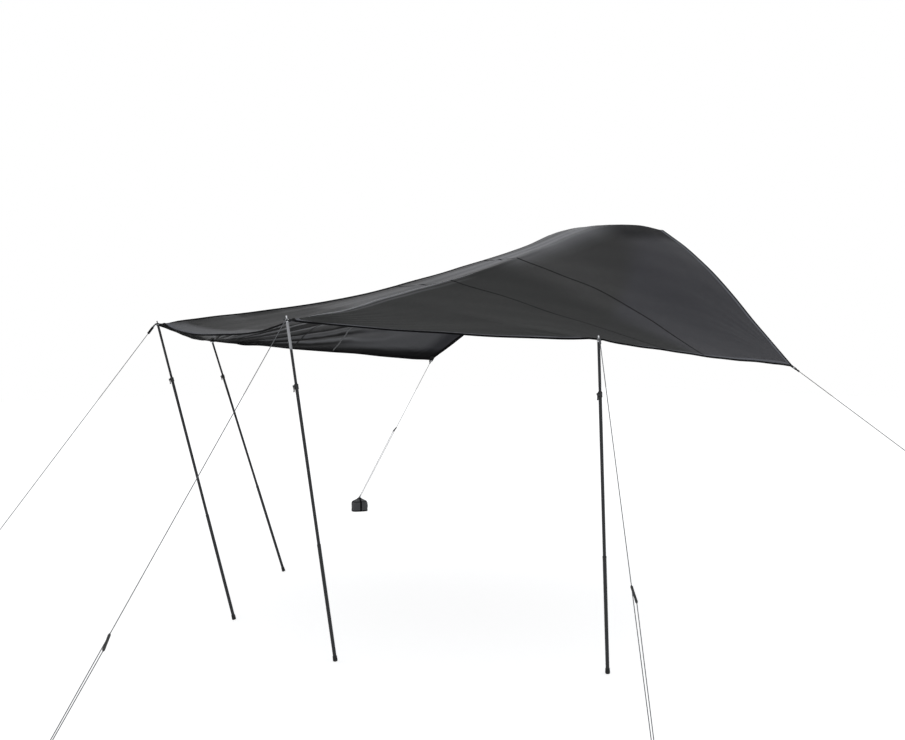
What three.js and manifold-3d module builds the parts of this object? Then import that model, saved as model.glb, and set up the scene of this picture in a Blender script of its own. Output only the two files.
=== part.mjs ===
import * as THREE from 'three';
import Module from 'manifold-3d';

// A free-standing fabric awning on four telescoping poles, guyed out to weight bags.
// Millimetres, +Z up. +X is the near side, +Y runs up the ridge toward the roof tent it joins.
// Lengths are written here once; everything else is worked out from them.

const wasm = await Module();
wasm.setup();

// Corner points of the canopy, as half widths, distances along the ridge and heights.
const outerCorner = { x: 821, y: -427, z: 1944 };
const middleCorner = { x: 2101, y: 598, z: 1845 };
const innerCorner = { x: 1857, y: 2617, z: 1681 };
const crest = { x: 283, y: 3230, z: 2704 };
const crestArch = 18;

// Where the poles stand on the ground.
const outerFoot = { x: 615, y: 0 };
const middleFoot = { x: 1761, y: 1039 };

// Weight bags on the ground, one for each guy line.
const bagPlaces = {
  outer_near: { x: 1516, y: -1974 },
  outer_far: { x: -870, y: -1850 },
  middle_near: { x: 3054, y: -67 },
  inner_near: { x: 3840, y: 3250 },
  inner_far: { x: -4040, y: 3319 },
};

// Cloth.
const clothThickness = 2;
const cornerCut = 45;
const outerSag = 80;
const outerScallop = 22;
const sideSagOuter = 22;
const sideSagInner = 10;
const sideScallopOuter = 20;
const sideScallopInner = 30;
const faceBulge = 68;
const ridgeValley = 80;

// The two creases that run from the outer corners to the crest: [share of the way, length] pairs.
const hipRise = [
  [0, 0],
  [0.12, -26],
  [0.2, -31],
  [0.37, -24],
  [0.53, 0],
  [0.7, 56],
  [0.83, 116],
  [0.93, 78],
  [1, 0],
];
const hipOut = [
  [0, outerCorner.x],
  [0.12, 676],
  [0.2, 525],
  [0.3, 425],
  [0.45, 330],
  [0.6, 225],
  [0.73, 170],
  [0.86, 200],
  [1, crest.x],
];

// How finely the cloth is divided.
const outerRowCount = 9;
const innerRowCount = 15;
const stripCellCount = 8;
const faceCellCount = 8;

// Shares that shape the cloth: no lengths, so they keep their value at any size.
const hipShares = [[0, 0], [0.25, 0.12], [0.44, 0.25], [0.54, 0.36], [0.7, 0.53], [0.86, 0.76], [1, 1]];
const valleyShares = [[0, 0], [0.3, -0.5], [0.6, -0.16], [0.85, 0.3], [1, 1]];
const bulgeShares = [[0, 0], [0.45, -0.3], [0.75, 0.1], [1, 1]];
const bulgeAcrossShares = [[0, 0], [0.2, 0.68], [0.5, 1], [0.78, 0.36], [1, 0]];
const outerRowShare = 0.44;
const innerRowShare = 0.46;

// Webbing tabs at the corners.
const tabThickness = 3;
const tabEyeRadius = 17;
const tabHoleRadius = 5.2;
const tabWidth = 52;
const tabInnerLength = 78;
const tabTrim = 0.6;
const tabInnerRow = 2;
const cordHoleRadius = 4;

// Poles: three tubes, each sliding inside the next.
const tubeWall = 1.2;
const fitGap = 0.3;
const upperTubeRadius = 7.5;
const middleTubeRadius = upperTubeRadius + fitGap + tubeWall;
const lowerTubeRadius = middleTubeRadius + fitGap + tubeWall;
const lowerTubeTop = 720;
const middleTubeOverlap = 150;
const upperTubeShows = { outer: 350, middle: 270 };
const upperTubeOverlap = 380;
const tubeSides = 20;

// Rubber foot.
const footHeight = 34;
const footFloor = 9;
const footWall = 2.1;
const footFlare = 1.2;
const footTopRadius = lowerTubeRadius + footWall;
const footBaseRadius = footTopRadius + footFlare;
const footDomeRadius = 30;

// Pole tip: a plug in the tube, a flange under the tab and a pin through it.
const pinRadius = 4;
const pinFlangeReach = 2;
const pinFlangeRadius = upperTubeRadius + pinFlangeReach;
const pinFlangeHeight = 4;
const pinPlugLength = 26;
const pinAboveTab = 26;
const pinNeckRadius = 2.8;
const pinNeckHeight = 7;

// Flip lock on the middle tube.
const lockWall = 2.8;
const lockRadius = middleTubeRadius + lockWall;
const lockHeight = 24;
const lockLip = 4;
const earLength = 7.2;
const earReach = lockRadius + earLength;
const earThickness = 3;
const earGap = 8.6;
const earHeight = 11;
const pivotRadius = 1.6;
const pivotClearance = 0.1;
const leverThickness = 3.4;
const leverLength = 30;

// Guy lines.
const cordRadius = 2;
const cordSides = 8;
const turnRadius = 5;
const turnStepCount = 6;
const straightStepCount = 4;
const endGap = 0.5;
const sliderShares = {
  outer_near: 0.775,
  outer_far: 0.775,
  middle_near: 0.645,
  inner_near: 0.44,
  inner_far: 0.44,
};

// Bar slider.
const sliderLength = 86;
const sliderWidth = 11;
const sliderThickness = 8;
const sliderHoleRadius = 2.4;
const sliderEyeInset = 6;
const strandSpread = 14;
const sliderBlindDepth = 14;

// Ring and weight bag.
const ringRadius = 17;
const ringWire = 2.5;
const bagWidth = 172;
const bagDepth = 122;
const bagHeight = 134;
const bagNeckTop = 148;
const bagLoopRadius = 7;
const bagLoopBand = 3;
const bagLoopWidth = 14;
const bagNeckRadius = 20;
const bagLoopRise = 12;

// Straps and hooks under the crest, for the roof tent.
const tentStrapOut = 175;
const tentStrapBack = 120;
const tentStrapWidth = 26;
const tentStrapLength = 62;
const tentStrapThickness = 3;
const tentStrapSpare = 120;
const tentHoleRadius = 6;
const tentHoleInset = 12;
const hookWire = 2.2;
const hookBend = 9;
const hookShank = 26;
const hookSweep = 1.35 * Math.PI;

const colours = {
  cloth: { color: 0x333435, roughness: 0.82, metalness: 0 },
  webbing: { color: 0x161617, roughness: 0.85, metalness: 0 },
  tube: { color: 0x1c1d1f, roughness: 0.42, metalness: 0.35 },
  upperTube: { color: 0x3a3b3e, roughness: 0.35, metalness: 0.6 },
  rubber: { color: 0x121213, roughness: 0.9, metalness: 0 },
  plastic: { color: 0x17181a, roughness: 0.55, metalness: 0 },
  steel: { color: 0xc9ccd0, roughness: 0.25, metalness: 1 },
  cord: { color: 0x5a5b5d, roughness: 0.8, metalness: 0 },
  bag: { color: 0x2f3032, roughness: 0.86, metalness: 0 },
};

const up = new THREE.Vector3(0, 0, 1);
const root = new THREE.Group();
root.name = 'vehicle_side_awning';

function vector(place) {
  return new THREE.Vector3(place.x, place.y, place.z ?? 0);
}

function addMesh(name, geometry, look, parent = root) {
  const mesh = new THREE.Mesh(geometry, new THREE.MeshStandardMaterial(look));
  mesh.name = name;
  parent.add(mesh);
  return mesh;
}

// A smooth curve through a short list of [share, value] pairs.
function through(pairs, share) {
  const last = pairs.length - 1;
  const slope = (i) => {
    const a = pairs[Math.max(i - 1, 0)];
    const b = pairs[Math.min(i + 1, last)];
    return (b[1] - a[1]) / (b[0] - a[0]);
  };
  let i = 0;
  while (i < last - 1 && share > pairs[i + 1][0]) i += 1;
  const [x0, y0] = pairs[i];
  const [x1, y1] = pairs[i + 1];
  const width = x1 - x0;
  const t = (share - x0) / width;
  const t2 = t * t;
  const t3 = t2 * t;
  return (2 * t3 - 3 * t2 + 1) * y0 + (t3 - 2 * t2 + t) * width * slope(i)
    + (3 * t2 - 2 * t3) * y1 + (t3 - t2) * width * slope(i + 1);
}

function toManifold(geometry) {
  const plain = geometry.index ? geometry.toNonIndexed() : geometry;
  const position = plain.getAttribute('position');
  const seen = new Map();
  const points = [];
  const triangles = [];
  for (let i = 0; i < position.count; i += 1) {
    const p = [position.getX(i), position.getY(i), position.getZ(i)];
    const key = p.map((v) => Math.round(v * 1e4)).join(',');
    if (!seen.has(key)) {
      seen.set(key, points.length / 3);
      points.push(...p);
    }
    triangles.push(seen.get(key));
  }
  const kept = [];
  for (let i = 0; i < triangles.length; i += 3) {
    const [a, b, c] = triangles.slice(i, i + 3);
    if (a !== b && b !== c && c !== a) kept.push(a, b, c);
  }
  const mesh = new wasm.Mesh({
    numProp: 3,
    vertProperties: new Float32Array(points),
    triVerts: new Uint32Array(kept),
  });
  return new wasm.Manifold(mesh);
}

function fromManifold(solid) {
  const mesh = solid.getMesh();
  const geometry = new THREE.BufferGeometry();
  geometry.setAttribute('position', new THREE.BufferAttribute(new Float32Array(mesh.vertProperties), 3));
  geometry.setIndex(new THREE.BufferAttribute(new Uint32Array(mesh.triVerts), 1));
  const flat = geometry.toNonIndexed();
  flat.computeVertexNormals();
  return flat;
}

// A turned solid about Z from [radius, height] pairs.
function turned(profile, sides) {
  const points = profile.map(([r, z]) => new THREE.Vector2(r, z));
  const geometry = new THREE.LatheGeometry(points, sides);
  geometry.rotateX(Math.PI / 2);
  return geometry;
}

function tube(outer, inner, bottom, top) {
  return turned([[inner, bottom], [outer, bottom], [outer, top], [inner, top], [inner, bottom]], tubeSides);
}

function box(width, depth, height, x, y, z) {
  const geometry = new THREE.BoxGeometry(width, depth, height);
  geometry.translate(x, y, z);
  return geometry;
}

// A round bar between two points.
function bar(radius, from, to, sides = cordSides) {
  const along = to.clone().sub(from);
  const geometry = new THREE.CylinderGeometry(radius, radius, along.length(), sides);
  const turn = new THREE.Quaternion().setFromUnitVectors(new THREE.Vector3(0, 1, 0), along.normalize());
  const middle = from.clone().add(to).multiplyScalar(1 / 2);
  geometry.applyMatrix4(new THREE.Matrix4().compose(middle, turn, new THREE.Vector3(1, 1, 1)));
  return geometry;
}

// A frame whose columns are three directions at a point.
function frameAt(point, xAxis, yAxis, zAxis) {
  return new THREE.Matrix4().makeBasis(xAxis, yAxis, zAxis).setPosition(point);
}

// A path that steps from station to station, however far apart they are.
class StationPath extends THREE.Curve {
  constructor(stations) {
    super();
    this.stations = stations;
  }

  getPoint(t, target = new THREE.Vector3()) {
    const scaled = t * (this.stations.length - 1);
    const i = Math.min(Math.floor(scaled), this.stations.length - 2);
    return target.lerpVectors(this.stations[i], this.stations[i + 1], scaled - i);
  }

  getPointAt(u, target) {
    return this.getPoint(u, target);
  }

  getTangentAt(u, target = new THREE.Vector3()) {
    const i = Math.round(u * (this.stations.length - 1));
    const here = this.stations[i];
    const before = this.stations[Math.max(i - 1, 0)];
    const after = this.stations[Math.min(i + 1, this.stations.length - 1)];
    const back = here.clone().sub(before);
    const forth = after.clone().sub(here);
    if (back.length() > 0) back.normalize();
    if (forth.length() > 0) forth.normalize();
    return target.copy(back.add(forth)).normalize();
  }
}

function cordAlong(stations, radius, sides) {
  const section = new THREE.Shape();
  section.absarc(0, 0, radius, 0, 2 * Math.PI);
  return new THREE.ExtrudeGeometry(section, {
    steps: stations.length - 1,
    curveSegments: sides / 2,
    extrudePath: new StationPath(stations),
  });
}

// The canopy. Rows run from side edge to side edge; each crosses both hips.
function sideEdgeRow(index) {
  const outer = vector(outerCorner);
  const middle = vector(middleCorner);
  const inner = vector(innerCorner);
  const onOuterSide = index < outerRowCount;
  const from = onOuterSide ? outer : middle;
  const to = onOuterSide ? middle : inner;
  const count = onOuterSide ? outerRowCount - 1 : innerRowCount - 1;
  const share = (onOuterSide ? index : index - outerRowCount) / count;
  const along = to.clone().sub(from).normalize();
  const start = from.clone().addScaledVector(along, cornerCut);
  const end = onOuterSide ? to.clone().addScaledVector(along, -cornerCut) : to;
  const slack = 4 * share * (1 - share);
  const inward = new THREE.Vector3(-along.y, along.x, 0).normalize();
  const point = new THREE.Vector3().lerpVectors(start, end, share);
  point.addScaledVector(inward, slack * (onOuterSide ? sideScallopOuter : sideScallopInner));
  point.z -= slack * (onOuterSide ? sideSagOuter : sideSagInner);
  const rowShare = onOuterSide ? outerRowShare * share : innerRowShare + (1 - innerRowShare) * share;
  return { point, rowShare };
}

function hipPoint(rowShare) {
  const from = vector(outerCorner);
  const to = vector(crest);
  const start = from.clone().addScaledVector(to.clone().sub(from).normalize(), cornerCut);
  const share = through(hipShares, rowShare);
  const point = start.clone().lerp(to, share);
  point.x = Math.min(start.x, through(hipOut, share));
  point.z += through(hipRise, share);
  return point;
}

function stripPoint(hip, rowShare, across) {
  const point = hip.clone();
  point.x = hip.x * across;
  const middle = 1 - across * across;
  const valley = through(valleyShares, rowShare);
  const fade = Math.max(0, 1 - rowShare / innerRowShare);
  point.z += valley > 0 ? valley * crestArch * middle : valley * ridgeValley * middle;
  point.z -= outerSag * (1 - Math.abs(across) ** 3) * fade ** 2;
  point.y -= (cornerCut - outerScallop) * (1 - across ** 6) * fade ** 6;
  return point;
}

function facePoint(hip, edge, rowShare, share) {
  const point = hip.clone().lerp(edge, share);
  point.z += faceBulge * through(bulgeShares, rowShare) * through(bulgeAcrossShares, share);
  return point;
}

function canopyRow(index) {
  const { point: edge, rowShare } = sideEdgeRow(index);
  const hip = hipPoint(rowShare);
  const half = [];
  for (let i = 0; i < stripCellCount / 2; i += 1) half.push(stripPoint(hip, rowShare, i / (stripCellCount / 2)));
  for (let i = 0; i <= faceCellCount; i += 1) half.push(facePoint(hip, edge, rowShare, i / faceCellCount));
  const far = half.slice(1).reverse().map((p) => new THREE.Vector3(-p.x, p.y, p.z));
  return [...far, ...half];
}

const canopyRows = Array.from({ length: outerRowCount + innerRowCount }, (_, i) => canopyRow(i));

// A closed sheet: the rows on top, the same rows one thickness lower, and a rim between.
function sheetSolid(rows, thickness) {
  const rowCount = rows.length;
  const columnCount = rows[0].length;
  const layer = rowCount * columnCount;
  const positions = [];
  for (const drop of [0, thickness]) {
    for (const row of rows) for (const p of row) positions.push(p.x, p.y, p.z - drop);
  }
  const at = (row, column) => row * columnCount + column;
  const index = [];
  const quad = (a, b, c, d) => index.push(a, b, c, a, c, d);
  for (let r = 0; r < rowCount - 1; r += 1) {
    for (let c = 0; c < columnCount - 1; c += 1) {
      quad(at(r, c), at(r, c + 1), at(r + 1, c + 1), at(r + 1, c));
      quad(layer + at(r, c), layer + at(r + 1, c), layer + at(r + 1, c + 1), layer + at(r, c + 1));
    }
  }
  const rim = (a, b) => quad(a, layer + a, layer + b, b);
  for (let c = 0; c < columnCount - 1; c += 1) {
    rim(at(0, c), at(0, c + 1));
    rim(at(rowCount - 1, c + 1), at(rowCount - 1, c));
  }
  for (let r = 0; r < rowCount - 1; r += 1) {
    rim(at(r + 1, 0), at(r, 0));
    rim(at(r, columnCount - 1), at(r + 1, columnCount - 1));
  }
  const geometry = new THREE.BufferGeometry();
  geometry.setAttribute('position', new THREE.BufferAttribute(new Float32Array(positions), 3));
  geometry.setIndex(index);
  geometry.computeVertexNormals();
  return geometry;
}

// What is left of a solid below the cloth, one fit gap from it.
function belowCloth(solid) {
  const cutter = toManifold(sheetSolid(canopyRows, clothThickness + fitGap));
  const parts = toManifold(solid).subtract(cutter).decompose();
  const low = (part) => part.boundingBox().min[2];
  return fromManifold(parts.sort((a, b) => low(a) - low(b))[0]);
}

// Each corner: the two ends of the cloth's edge there, and a cloth point further in.
function cornerPoints(side, kind) {
  const lastColumn = canopyRows[0].length - 1;
  const hipColumn = lastColumn - faceCellCount;
  const lastRow = canopyRows.length - 1;
  const pick = {
    outer: [[0, hipColumn], [0, lastColumn], [tabInnerRow, hipColumn + faceCellCount / 2]],
    middle: [[outerRowCount - 1, lastColumn], [outerRowCount, lastColumn], [outerRowCount, lastColumn - 1]],
    inner: [[lastRow, lastColumn - 1], [lastRow - 1, lastColumn], [lastRow - 1, lastColumn - 1]],
  }[kind];
  return pick.map(([row, column]) => {
    const p = canopyRows[row][column];
    return new THREE.Vector3(side * p.x, p.y, p.z);
  });
}

// The plane that a corner tab lies in, its outward direction and its eye.
function tabFrame(side, kind) {
  const corner = vector({ outer: outerCorner, middle: middleCorner, inner: innerCorner }[kind]);
  corner.x *= side;
  const [first, second, within] = cornerPoints(side, kind);
  const normal = second.clone().sub(first).cross(within.clone().sub(first)).normalize();
  if (normal.z < 0) normal.negate();
  const inner = kind === 'inner';
  const foot = inner ? corner : first.clone().add(second).multiplyScalar(1 / 2);
  const outward = foot.clone().sub(within);
  outward.addScaledVector(normal, -outward.dot(normal)).normalize();
  const lowered = foot.clone().addScaledVector(normal, tabTrim - clothThickness - tabThickness / 2);
  const reach = inner ? tabEyeRadius / 2 : corner.clone().sub(foot).dot(outward);
  const eye = lowered.addScaledVector(outward, Math.max(reach, tabEyeRadius));
  const sideways = normal.clone().cross(outward);
  return { eye, outward, sideways, normal };
}

function tabSolid(holeRadius) {
  const shape = new THREE.Shape();
  shape.absarc(0, 0, tabEyeRadius, -Math.PI / 2, Math.PI / 2);
  shape.lineTo(-tabInnerLength, tabWidth / 2);
  shape.lineTo(-tabInnerLength, -tabWidth / 2);
  const hole = new THREE.Path();
  hole.absarc(0, 0, holeRadius, 0, 2 * Math.PI, true);
  shape.holes.push(hole);
  const geometry = new THREE.ExtrudeGeometry(shape, {
    depth: tabThickness,
    bevelEnabled: false,
    curveSegments: 8,
  });
  geometry.translate(0, 0, -tabThickness / 2);
  return geometry;
}

function addTab(name, side, kind) {
  const frame = tabFrame(side, kind);
  const geometry = tabSolid(kind === 'inner' ? cordHoleRadius : tabHoleRadius);
  geometry.applyMatrix4(frameAt(frame.eye, frame.outward, frame.sideways, frame.normal));
  addMesh(`corner_tab_${name}`, belowCloth(geometry), colours.webbing);
  return frame;
}

// One pole, built along its own Z from the tip of its foot.
function footSolid() {
  const baseHeight = footDomeRadius - Math.sqrt(footDomeRadius ** 2 - footBaseRadius ** 2);
  const midRadius = footBaseRadius / 2;
  const midHeight = footDomeRadius - Math.sqrt(footDomeRadius ** 2 - midRadius ** 2);
  const socket = lowerTubeRadius + fitGap;
  return turned([
    [0, 0],
    [midRadius, midHeight],
    [footBaseRadius, baseHeight],
    [footTopRadius, footHeight],
    [socket, footHeight],
    [socket, footFloor],
    [0, footFloor],
  ], tubeSides);
}

function pinSolid(seat) {
  const plug = upperTubeRadius - tubeWall - fitGap;
  const under = seat - pinFlangeHeight;
  const top = seat + pinAboveTab;
  const neck = top - pinNeckHeight;
  return turned([
    [0, under - pinPlugLength],
    [plug, under - pinPlugLength],
    [plug, under],
    [pinFlangeRadius, under],
    [pinFlangeRadius, seat],
    [pinRadius, seat],
    [pinRadius, neck - pinRadius],
    [pinNeckRadius, neck - pinNeckRadius],
    [pinNeckRadius, neck],
    [pinRadius, neck + pinRadius / 2],
    [pinRadius, top - pinRadius / 2],
    [pinNeckRadius, top],
    [0, top],
  ], tubeSides);
}

function lockSolid(top) {
  const socket = middleTubeRadius + fitGap;
  const passage = upperTubeRadius + fitGap;
  const bottom = top - lockHeight;
  const ring = turned([
    [socket, bottom],
    [lockRadius, bottom],
    [lockRadius, top + lockLip],
    [passage, top + lockLip],
    [passage, top + fitGap],
    [socket, top + fitGap],
    [socket, bottom],
  ], tubeSides);
  const earRoot = (socket + lockRadius) / 2;
  const earMiddle = (earReach + earRoot) / 2;
  const earOffset = (earGap + earThickness) / 2;
  const earHigh = top - earHeight / 2;
  let solid = toManifold(ring);
  for (const side of [-1, 1]) {
    const ear = box(earReach - earRoot, earThickness, earHeight, earMiddle, side * earOffset, earHigh);
    solid = solid.add(toManifold(ear));
  }
  const half = earGap / 2 + 2 * earThickness;
  const centre = pivotPoint(top);
  const hole = bar(
    pivotRadius + pivotClearance,
    centre.clone().setY(-half),
    centre.clone().setY(half),
    12,
  );
  const bore = turned([
    [0, bottom - lockLip],
    [socket, bottom - lockLip],
    [socket, top],
    [0, top],
  ], tubeSides);
  return fromManifold(solid.subtract(toManifold(bore)).subtract(toManifold(hole)));
}

function pivotPoint(top) {
  return new THREE.Vector3(earReach - 2 * pivotRadius, 0, top - earHeight / 2);
}

function leverSolid(top) {
  const centre = pivotPoint(top);
  const width = earGap - 2 * fitGap;
  const outer = centre.x + leverThickness;
  const bottom = centre.z - leverLength;
  const head = bar(
    leverThickness,
    centre.clone().setY(-width / 2),
    centre.clone().setY(width / 2),
    16,
  );
  const arm = box(
    leverThickness,
    width,
    centre.z - bottom,
    outer - leverThickness / 2,
    0,
    (centre.z + bottom) / 2,
  );
  const axle = bar(
    pivotRadius,
    centre.clone().setY(-earGap / 2 - earThickness + fitGap),
    centre.clone().setY(earGap / 2 + earThickness - fitGap),
    12,
  );
  return fromManifold(toManifold(head).add(toManifold(arm)).add(toManifold(axle)));
}

function addPole(name, side, footPlace, tab, shows) {
  const dome = new THREE.Vector3(side * footPlace.x, footPlace.y, footDomeRadius);
  const axis = tab.eye.clone().sub(dome).normalize();
  const tip = dome.clone().addScaledVector(axis, -footDomeRadius);
  const tilt = axis.angleTo(tab.normal);
  const drop = tabThickness / 2 / Math.cos(tilt) + pinFlangeRadius * Math.tan(tilt) + fitGap;
  const seat = tab.eye.distanceTo(tip) - drop;
  const outward = new THREE.Vector3(0, -1, 0).addScaledVector(axis, axis.y).normalize();
  const sideways = axis.clone().cross(outward);
  const pole = new THREE.Group();
  pole.name = `pole_${name}`;
  pole.applyMatrix4(frameAt(tip, outward, sideways, axis));
  root.add(pole);
  const upperTop = seat - pinFlangeHeight - fitGap;
  const lockTop = upperTop - shows;
  const part = (piece, geometry, look) => addMesh(`pole_${name}_${piece}`, geometry, look, pole);
  part('foot', footSolid(), colours.rubber);
  part('lower_tube', tube(
    lowerTubeRadius,
    lowerTubeRadius - tubeWall,
    footFloor + fitGap,
    lowerTubeTop,
  ), colours.tube);
  part('middle_tube', tube(
    middleTubeRadius,
    middleTubeRadius - tubeWall,
    lowerTubeTop - middleTubeOverlap,
    lockTop,
  ), colours.tube);
  part('upper_tube', tube(
    upperTubeRadius,
    upperTubeRadius - tubeWall,
    lockTop - upperTubeOverlap,
    upperTop,
  ), colours.upperTube);
  part('lock_collar', lockSolid(lockTop), colours.plastic);
  part('lock_lever', leverSolid(lockTop), colours.plastic);
  part('pin', pinSolid(seat), colours.steel);
}

// A guy line: from the tab down to the ring, round it, and back up to the slider.
function guyFrame(name, tab) {
  const neck = vector(bagPlaces[name]).setZ(bagNeckTop);
  const reach = neck.clone().sub(tab.eye);
  const along = reach.clone().normalize();
  const leading = along.clone().addScaledVector(tab.normal, -along.dot(tab.normal)).normalize();
  const endReach = cordRadius * Math.abs(along.dot(tab.normal));
  const start = tab.eye.clone().addScaledVector(leading, tabEyeRadius + fitGap + endReach);
  start.addScaledVector(along.clone().cross(up).normalize(), -turnRadius);
  const line = neck.clone().sub(start);
  const down = line.clone().normalize();
  const across = down.clone().cross(up).normalize();
  const over = down.clone().cross(across);
  const hole = ringRadius - ringWire;
  const curl = hole - Math.sqrt(hole ** 2 - (bagLoopWidth / 2) ** 2);
  const ringBottom = bagLoopRise + bagLoopRadius - ringWire - fitGap - curl;
  const turnCentre = line.length() - ringBottom - 2 * ringRadius;
  return { start, down, across, over, neck, turnCentre, ringCentre: turnCentre + ringRadius };
}

function guyPoint(guy, along, across) {
  return guy.start.clone().addScaledVector(guy.down, along).addScaledVector(guy.across, across);
}

function guyStations(name, guy) {
  const sliderTop = sliderShares[name] * guy.turnCentre;
  const returnEnd = sliderTop + sliderLength - sliderBlindDepth;
  const stations = [];
  for (let i = 0; i < straightStepCount; i += 1) {
    stations.push(guyPoint(guy, guy.turnCentre * i / straightStepCount, turnRadius));
  }
  for (let i = 0; i <= turnStepCount; i += 1) {
    const angle = Math.PI * i / turnStepCount;
    stations.push(guyPoint(guy, guy.turnCentre + turnRadius * Math.sin(angle), turnRadius * Math.cos(angle)));
  }
  stations.push(guyPoint(guy, returnEnd + endGap, turnRadius - strandSpread));
  return { stations, sliderTop };
}

function sliderSolid(guy, sliderTop) {
  const length = sliderLength;
  const lean = Math.atan2(-strandSpread, length - 2 * sliderEyeInset);
  const shape = new THREE.Shape();
  const half = sliderWidth / 2;
  shape.moveTo(half, -half);
  shape.absarc(length - half, 0, half, -Math.PI / 2, Math.PI / 2);
  shape.absarc(half, 0, half, Math.PI / 2, 3 * Math.PI / 2);
  const bar3 = new THREE.ExtrudeGeometry(shape, {
    depth: sliderThickness,
    bevelEnabled: false,
    curveSegments: 6,
  });
  bar3.translate(-sliderEyeInset, 0, -sliderThickness / 2);
  bar3.rotateZ(lean);
  const from = new THREE.Vector3(-length, 0, 0);
  const to = new THREE.Vector3(2 * length, 0, 0);
  const runHole = bar(sliderHoleRadius, from, to, 12);
  const blindStart = length - 2 * sliderEyeInset - sliderBlindDepth + sliderEyeInset;
  const blindHole = bar(
    sliderHoleRadius,
    new THREE.Vector3(blindStart, -strandSpread, 0),
    new THREE.Vector3(2 * length, -strandSpread, 0),
    12,
  );
  const solid = toManifold(bar3).subtract(toManifold(runHole)).subtract(toManifold(blindHole));
  const parts = solid.decompose().sort((a, b) => b.volume() - a.volume());
  const geometry = fromManifold(parts[0]);
  const place = guyPoint(guy, sliderTop + sliderEyeInset, turnRadius);
  geometry.applyMatrix4(frameAt(place, guy.down, guy.across, guy.over));
  return geometry;
}

function ringSolid(guy) {
  const geometry = new THREE.TorusGeometry(ringRadius, ringWire, 8, 24);
  const centre = guyPoint(guy, guy.ringCentre, 0);
  geometry.applyMatrix4(frameAt(centre, guy.down, guy.over, guy.across.clone().negate()));
  return geometry;
}

// Cross-sections of the bag from the ground up: [height share, width share, depth share].
const bagSections = [
  [0, 0.9, 0.84],
  [0.06, 0.97, 0.95],
  [0.45, 1, 1],
  [0.82, 0.96, 0.94],
  [0.94, 0.84, 0.76],
  [1, 0.5, 0.42],
];
const bagNeckShare = 0.75;
const bagCornerPower = 3.2;
const bagSideCount = 20;

function bagBody() {
  const rings = bagSections.map(([high, wide, deep]) => {
    const ring = [];
    for (let i = 0; i < bagSideCount; i += 1) {
      const angle = 2 * Math.PI * i / bagSideCount;
      const c = Math.cos(angle);
      const s = Math.sin(angle);
      const spread = (Math.abs(c) ** bagCornerPower + Math.abs(s) ** bagCornerPower) ** (-1 / bagCornerPower);
      ring.push([wide * bagWidth / 2 * c * spread, deep * bagDepth / 2 * s * spread, high * bagHeight]);
    }
    return ring;
  });
  const positions = rings.flat(2);
  const low = positions.length / 3;
  positions.push(0, 0, 0, 0, 0, bagHeight);
  const index = [];
  for (let r = 0; r < rings.length - 1; r += 1) {
    for (let i = 0; i < bagSideCount; i += 1) {
      const next = (i + 1) % bagSideCount;
      const a = r * bagSideCount + i;
      const b = r * bagSideCount + next;
      index.push(a, b, b + bagSideCount, a, b + bagSideCount, a + bagSideCount);
    }
  }
  const topRow = (rings.length - 1) * bagSideCount;
  for (let i = 0; i < bagSideCount; i += 1) {
    const next = (i + 1) % bagSideCount;
    index.push(low, next, i);
    index.push(low + 1, topRow + i, topRow + next);
  }
  const geometry = new THREE.BufferGeometry();
  geometry.setAttribute('position', new THREE.BufferAttribute(new Float32Array(positions), 3));
  geometry.setIndex(index);
  return geometry;
}

// The webbing loop on the bag's neck, an arch that the ring hangs in.
function bagLoop() {
  const outer = bagLoopRadius + bagLoopBand;
  const buried = -(bagNeckTop - bagHeight) - 3 * bagLoopBand;
  const shape = new THREE.Shape();
  shape.moveTo(buried, -outer);
  shape.lineTo(bagLoopRise, -outer);
  shape.absarc(bagLoopRise, 0, outer, -Math.PI / 2, Math.PI / 2);
  shape.lineTo(buried, outer);
  shape.lineTo(buried, bagLoopRadius);
  shape.lineTo(bagLoopRise, bagLoopRadius);
  shape.absarc(bagLoopRise, 0, bagLoopRadius, Math.PI / 2, -Math.PI / 2, true);
  shape.lineTo(buried, -bagLoopRadius);
  const geometry = new THREE.ExtrudeGeometry(shape, {
    depth: bagLoopWidth,
    bevelEnabled: false,
    curveSegments: 8,
  });
  geometry.translate(0, 0, -bagLoopWidth / 2);
  return geometry;
}

function bagSolid(guy) {
  const body = bagBody();
  const wideWay = guy.across.clone().setZ(0).normalize();
  const deepWay = up.clone().cross(wideWay);
  body.applyMatrix4(frameAt(guy.neck.clone().setZ(0), wideWay, deepWay, up));
  const loop = bagLoop();
  loop.applyMatrix4(frameAt(guy.neck, guy.down.clone().negate(), guy.across, guy.over.clone().negate()));
  const neck = turned([
    [0, bagHeight - 4 * bagLoopBand],
    [bagNeckRadius, bagHeight - 4 * bagLoopBand],
    [bagNeckRadius * bagNeckShare, bagNeckTop],
    [0, bagNeckTop],
  ], bagSideCount);
  neck.applyMatrix4(frameAt(guy.neck.clone().setZ(0), wideWay, deepWay, up));
  return fromManifold(toManifold(body).add(toManifold(neck)).add(toManifold(loop)));
}

function addGuy(name, tab) {
  const guy = guyFrame(name, tab);
  const { stations, sliderTop } = guyStations(name, guy);
  addMesh(`guy_line_${name}`, cordAlong(stations, cordRadius, cordSides), colours.cord);
  addMesh(`slider_${name}`, sliderSolid(guy, sliderTop), colours.plastic);
  addMesh(`weight_ring_${name}`, ringSolid(guy), colours.steel);
  addMesh(`weight_bag_${name}`, bagSolid(guy), colours.bag);
}

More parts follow.
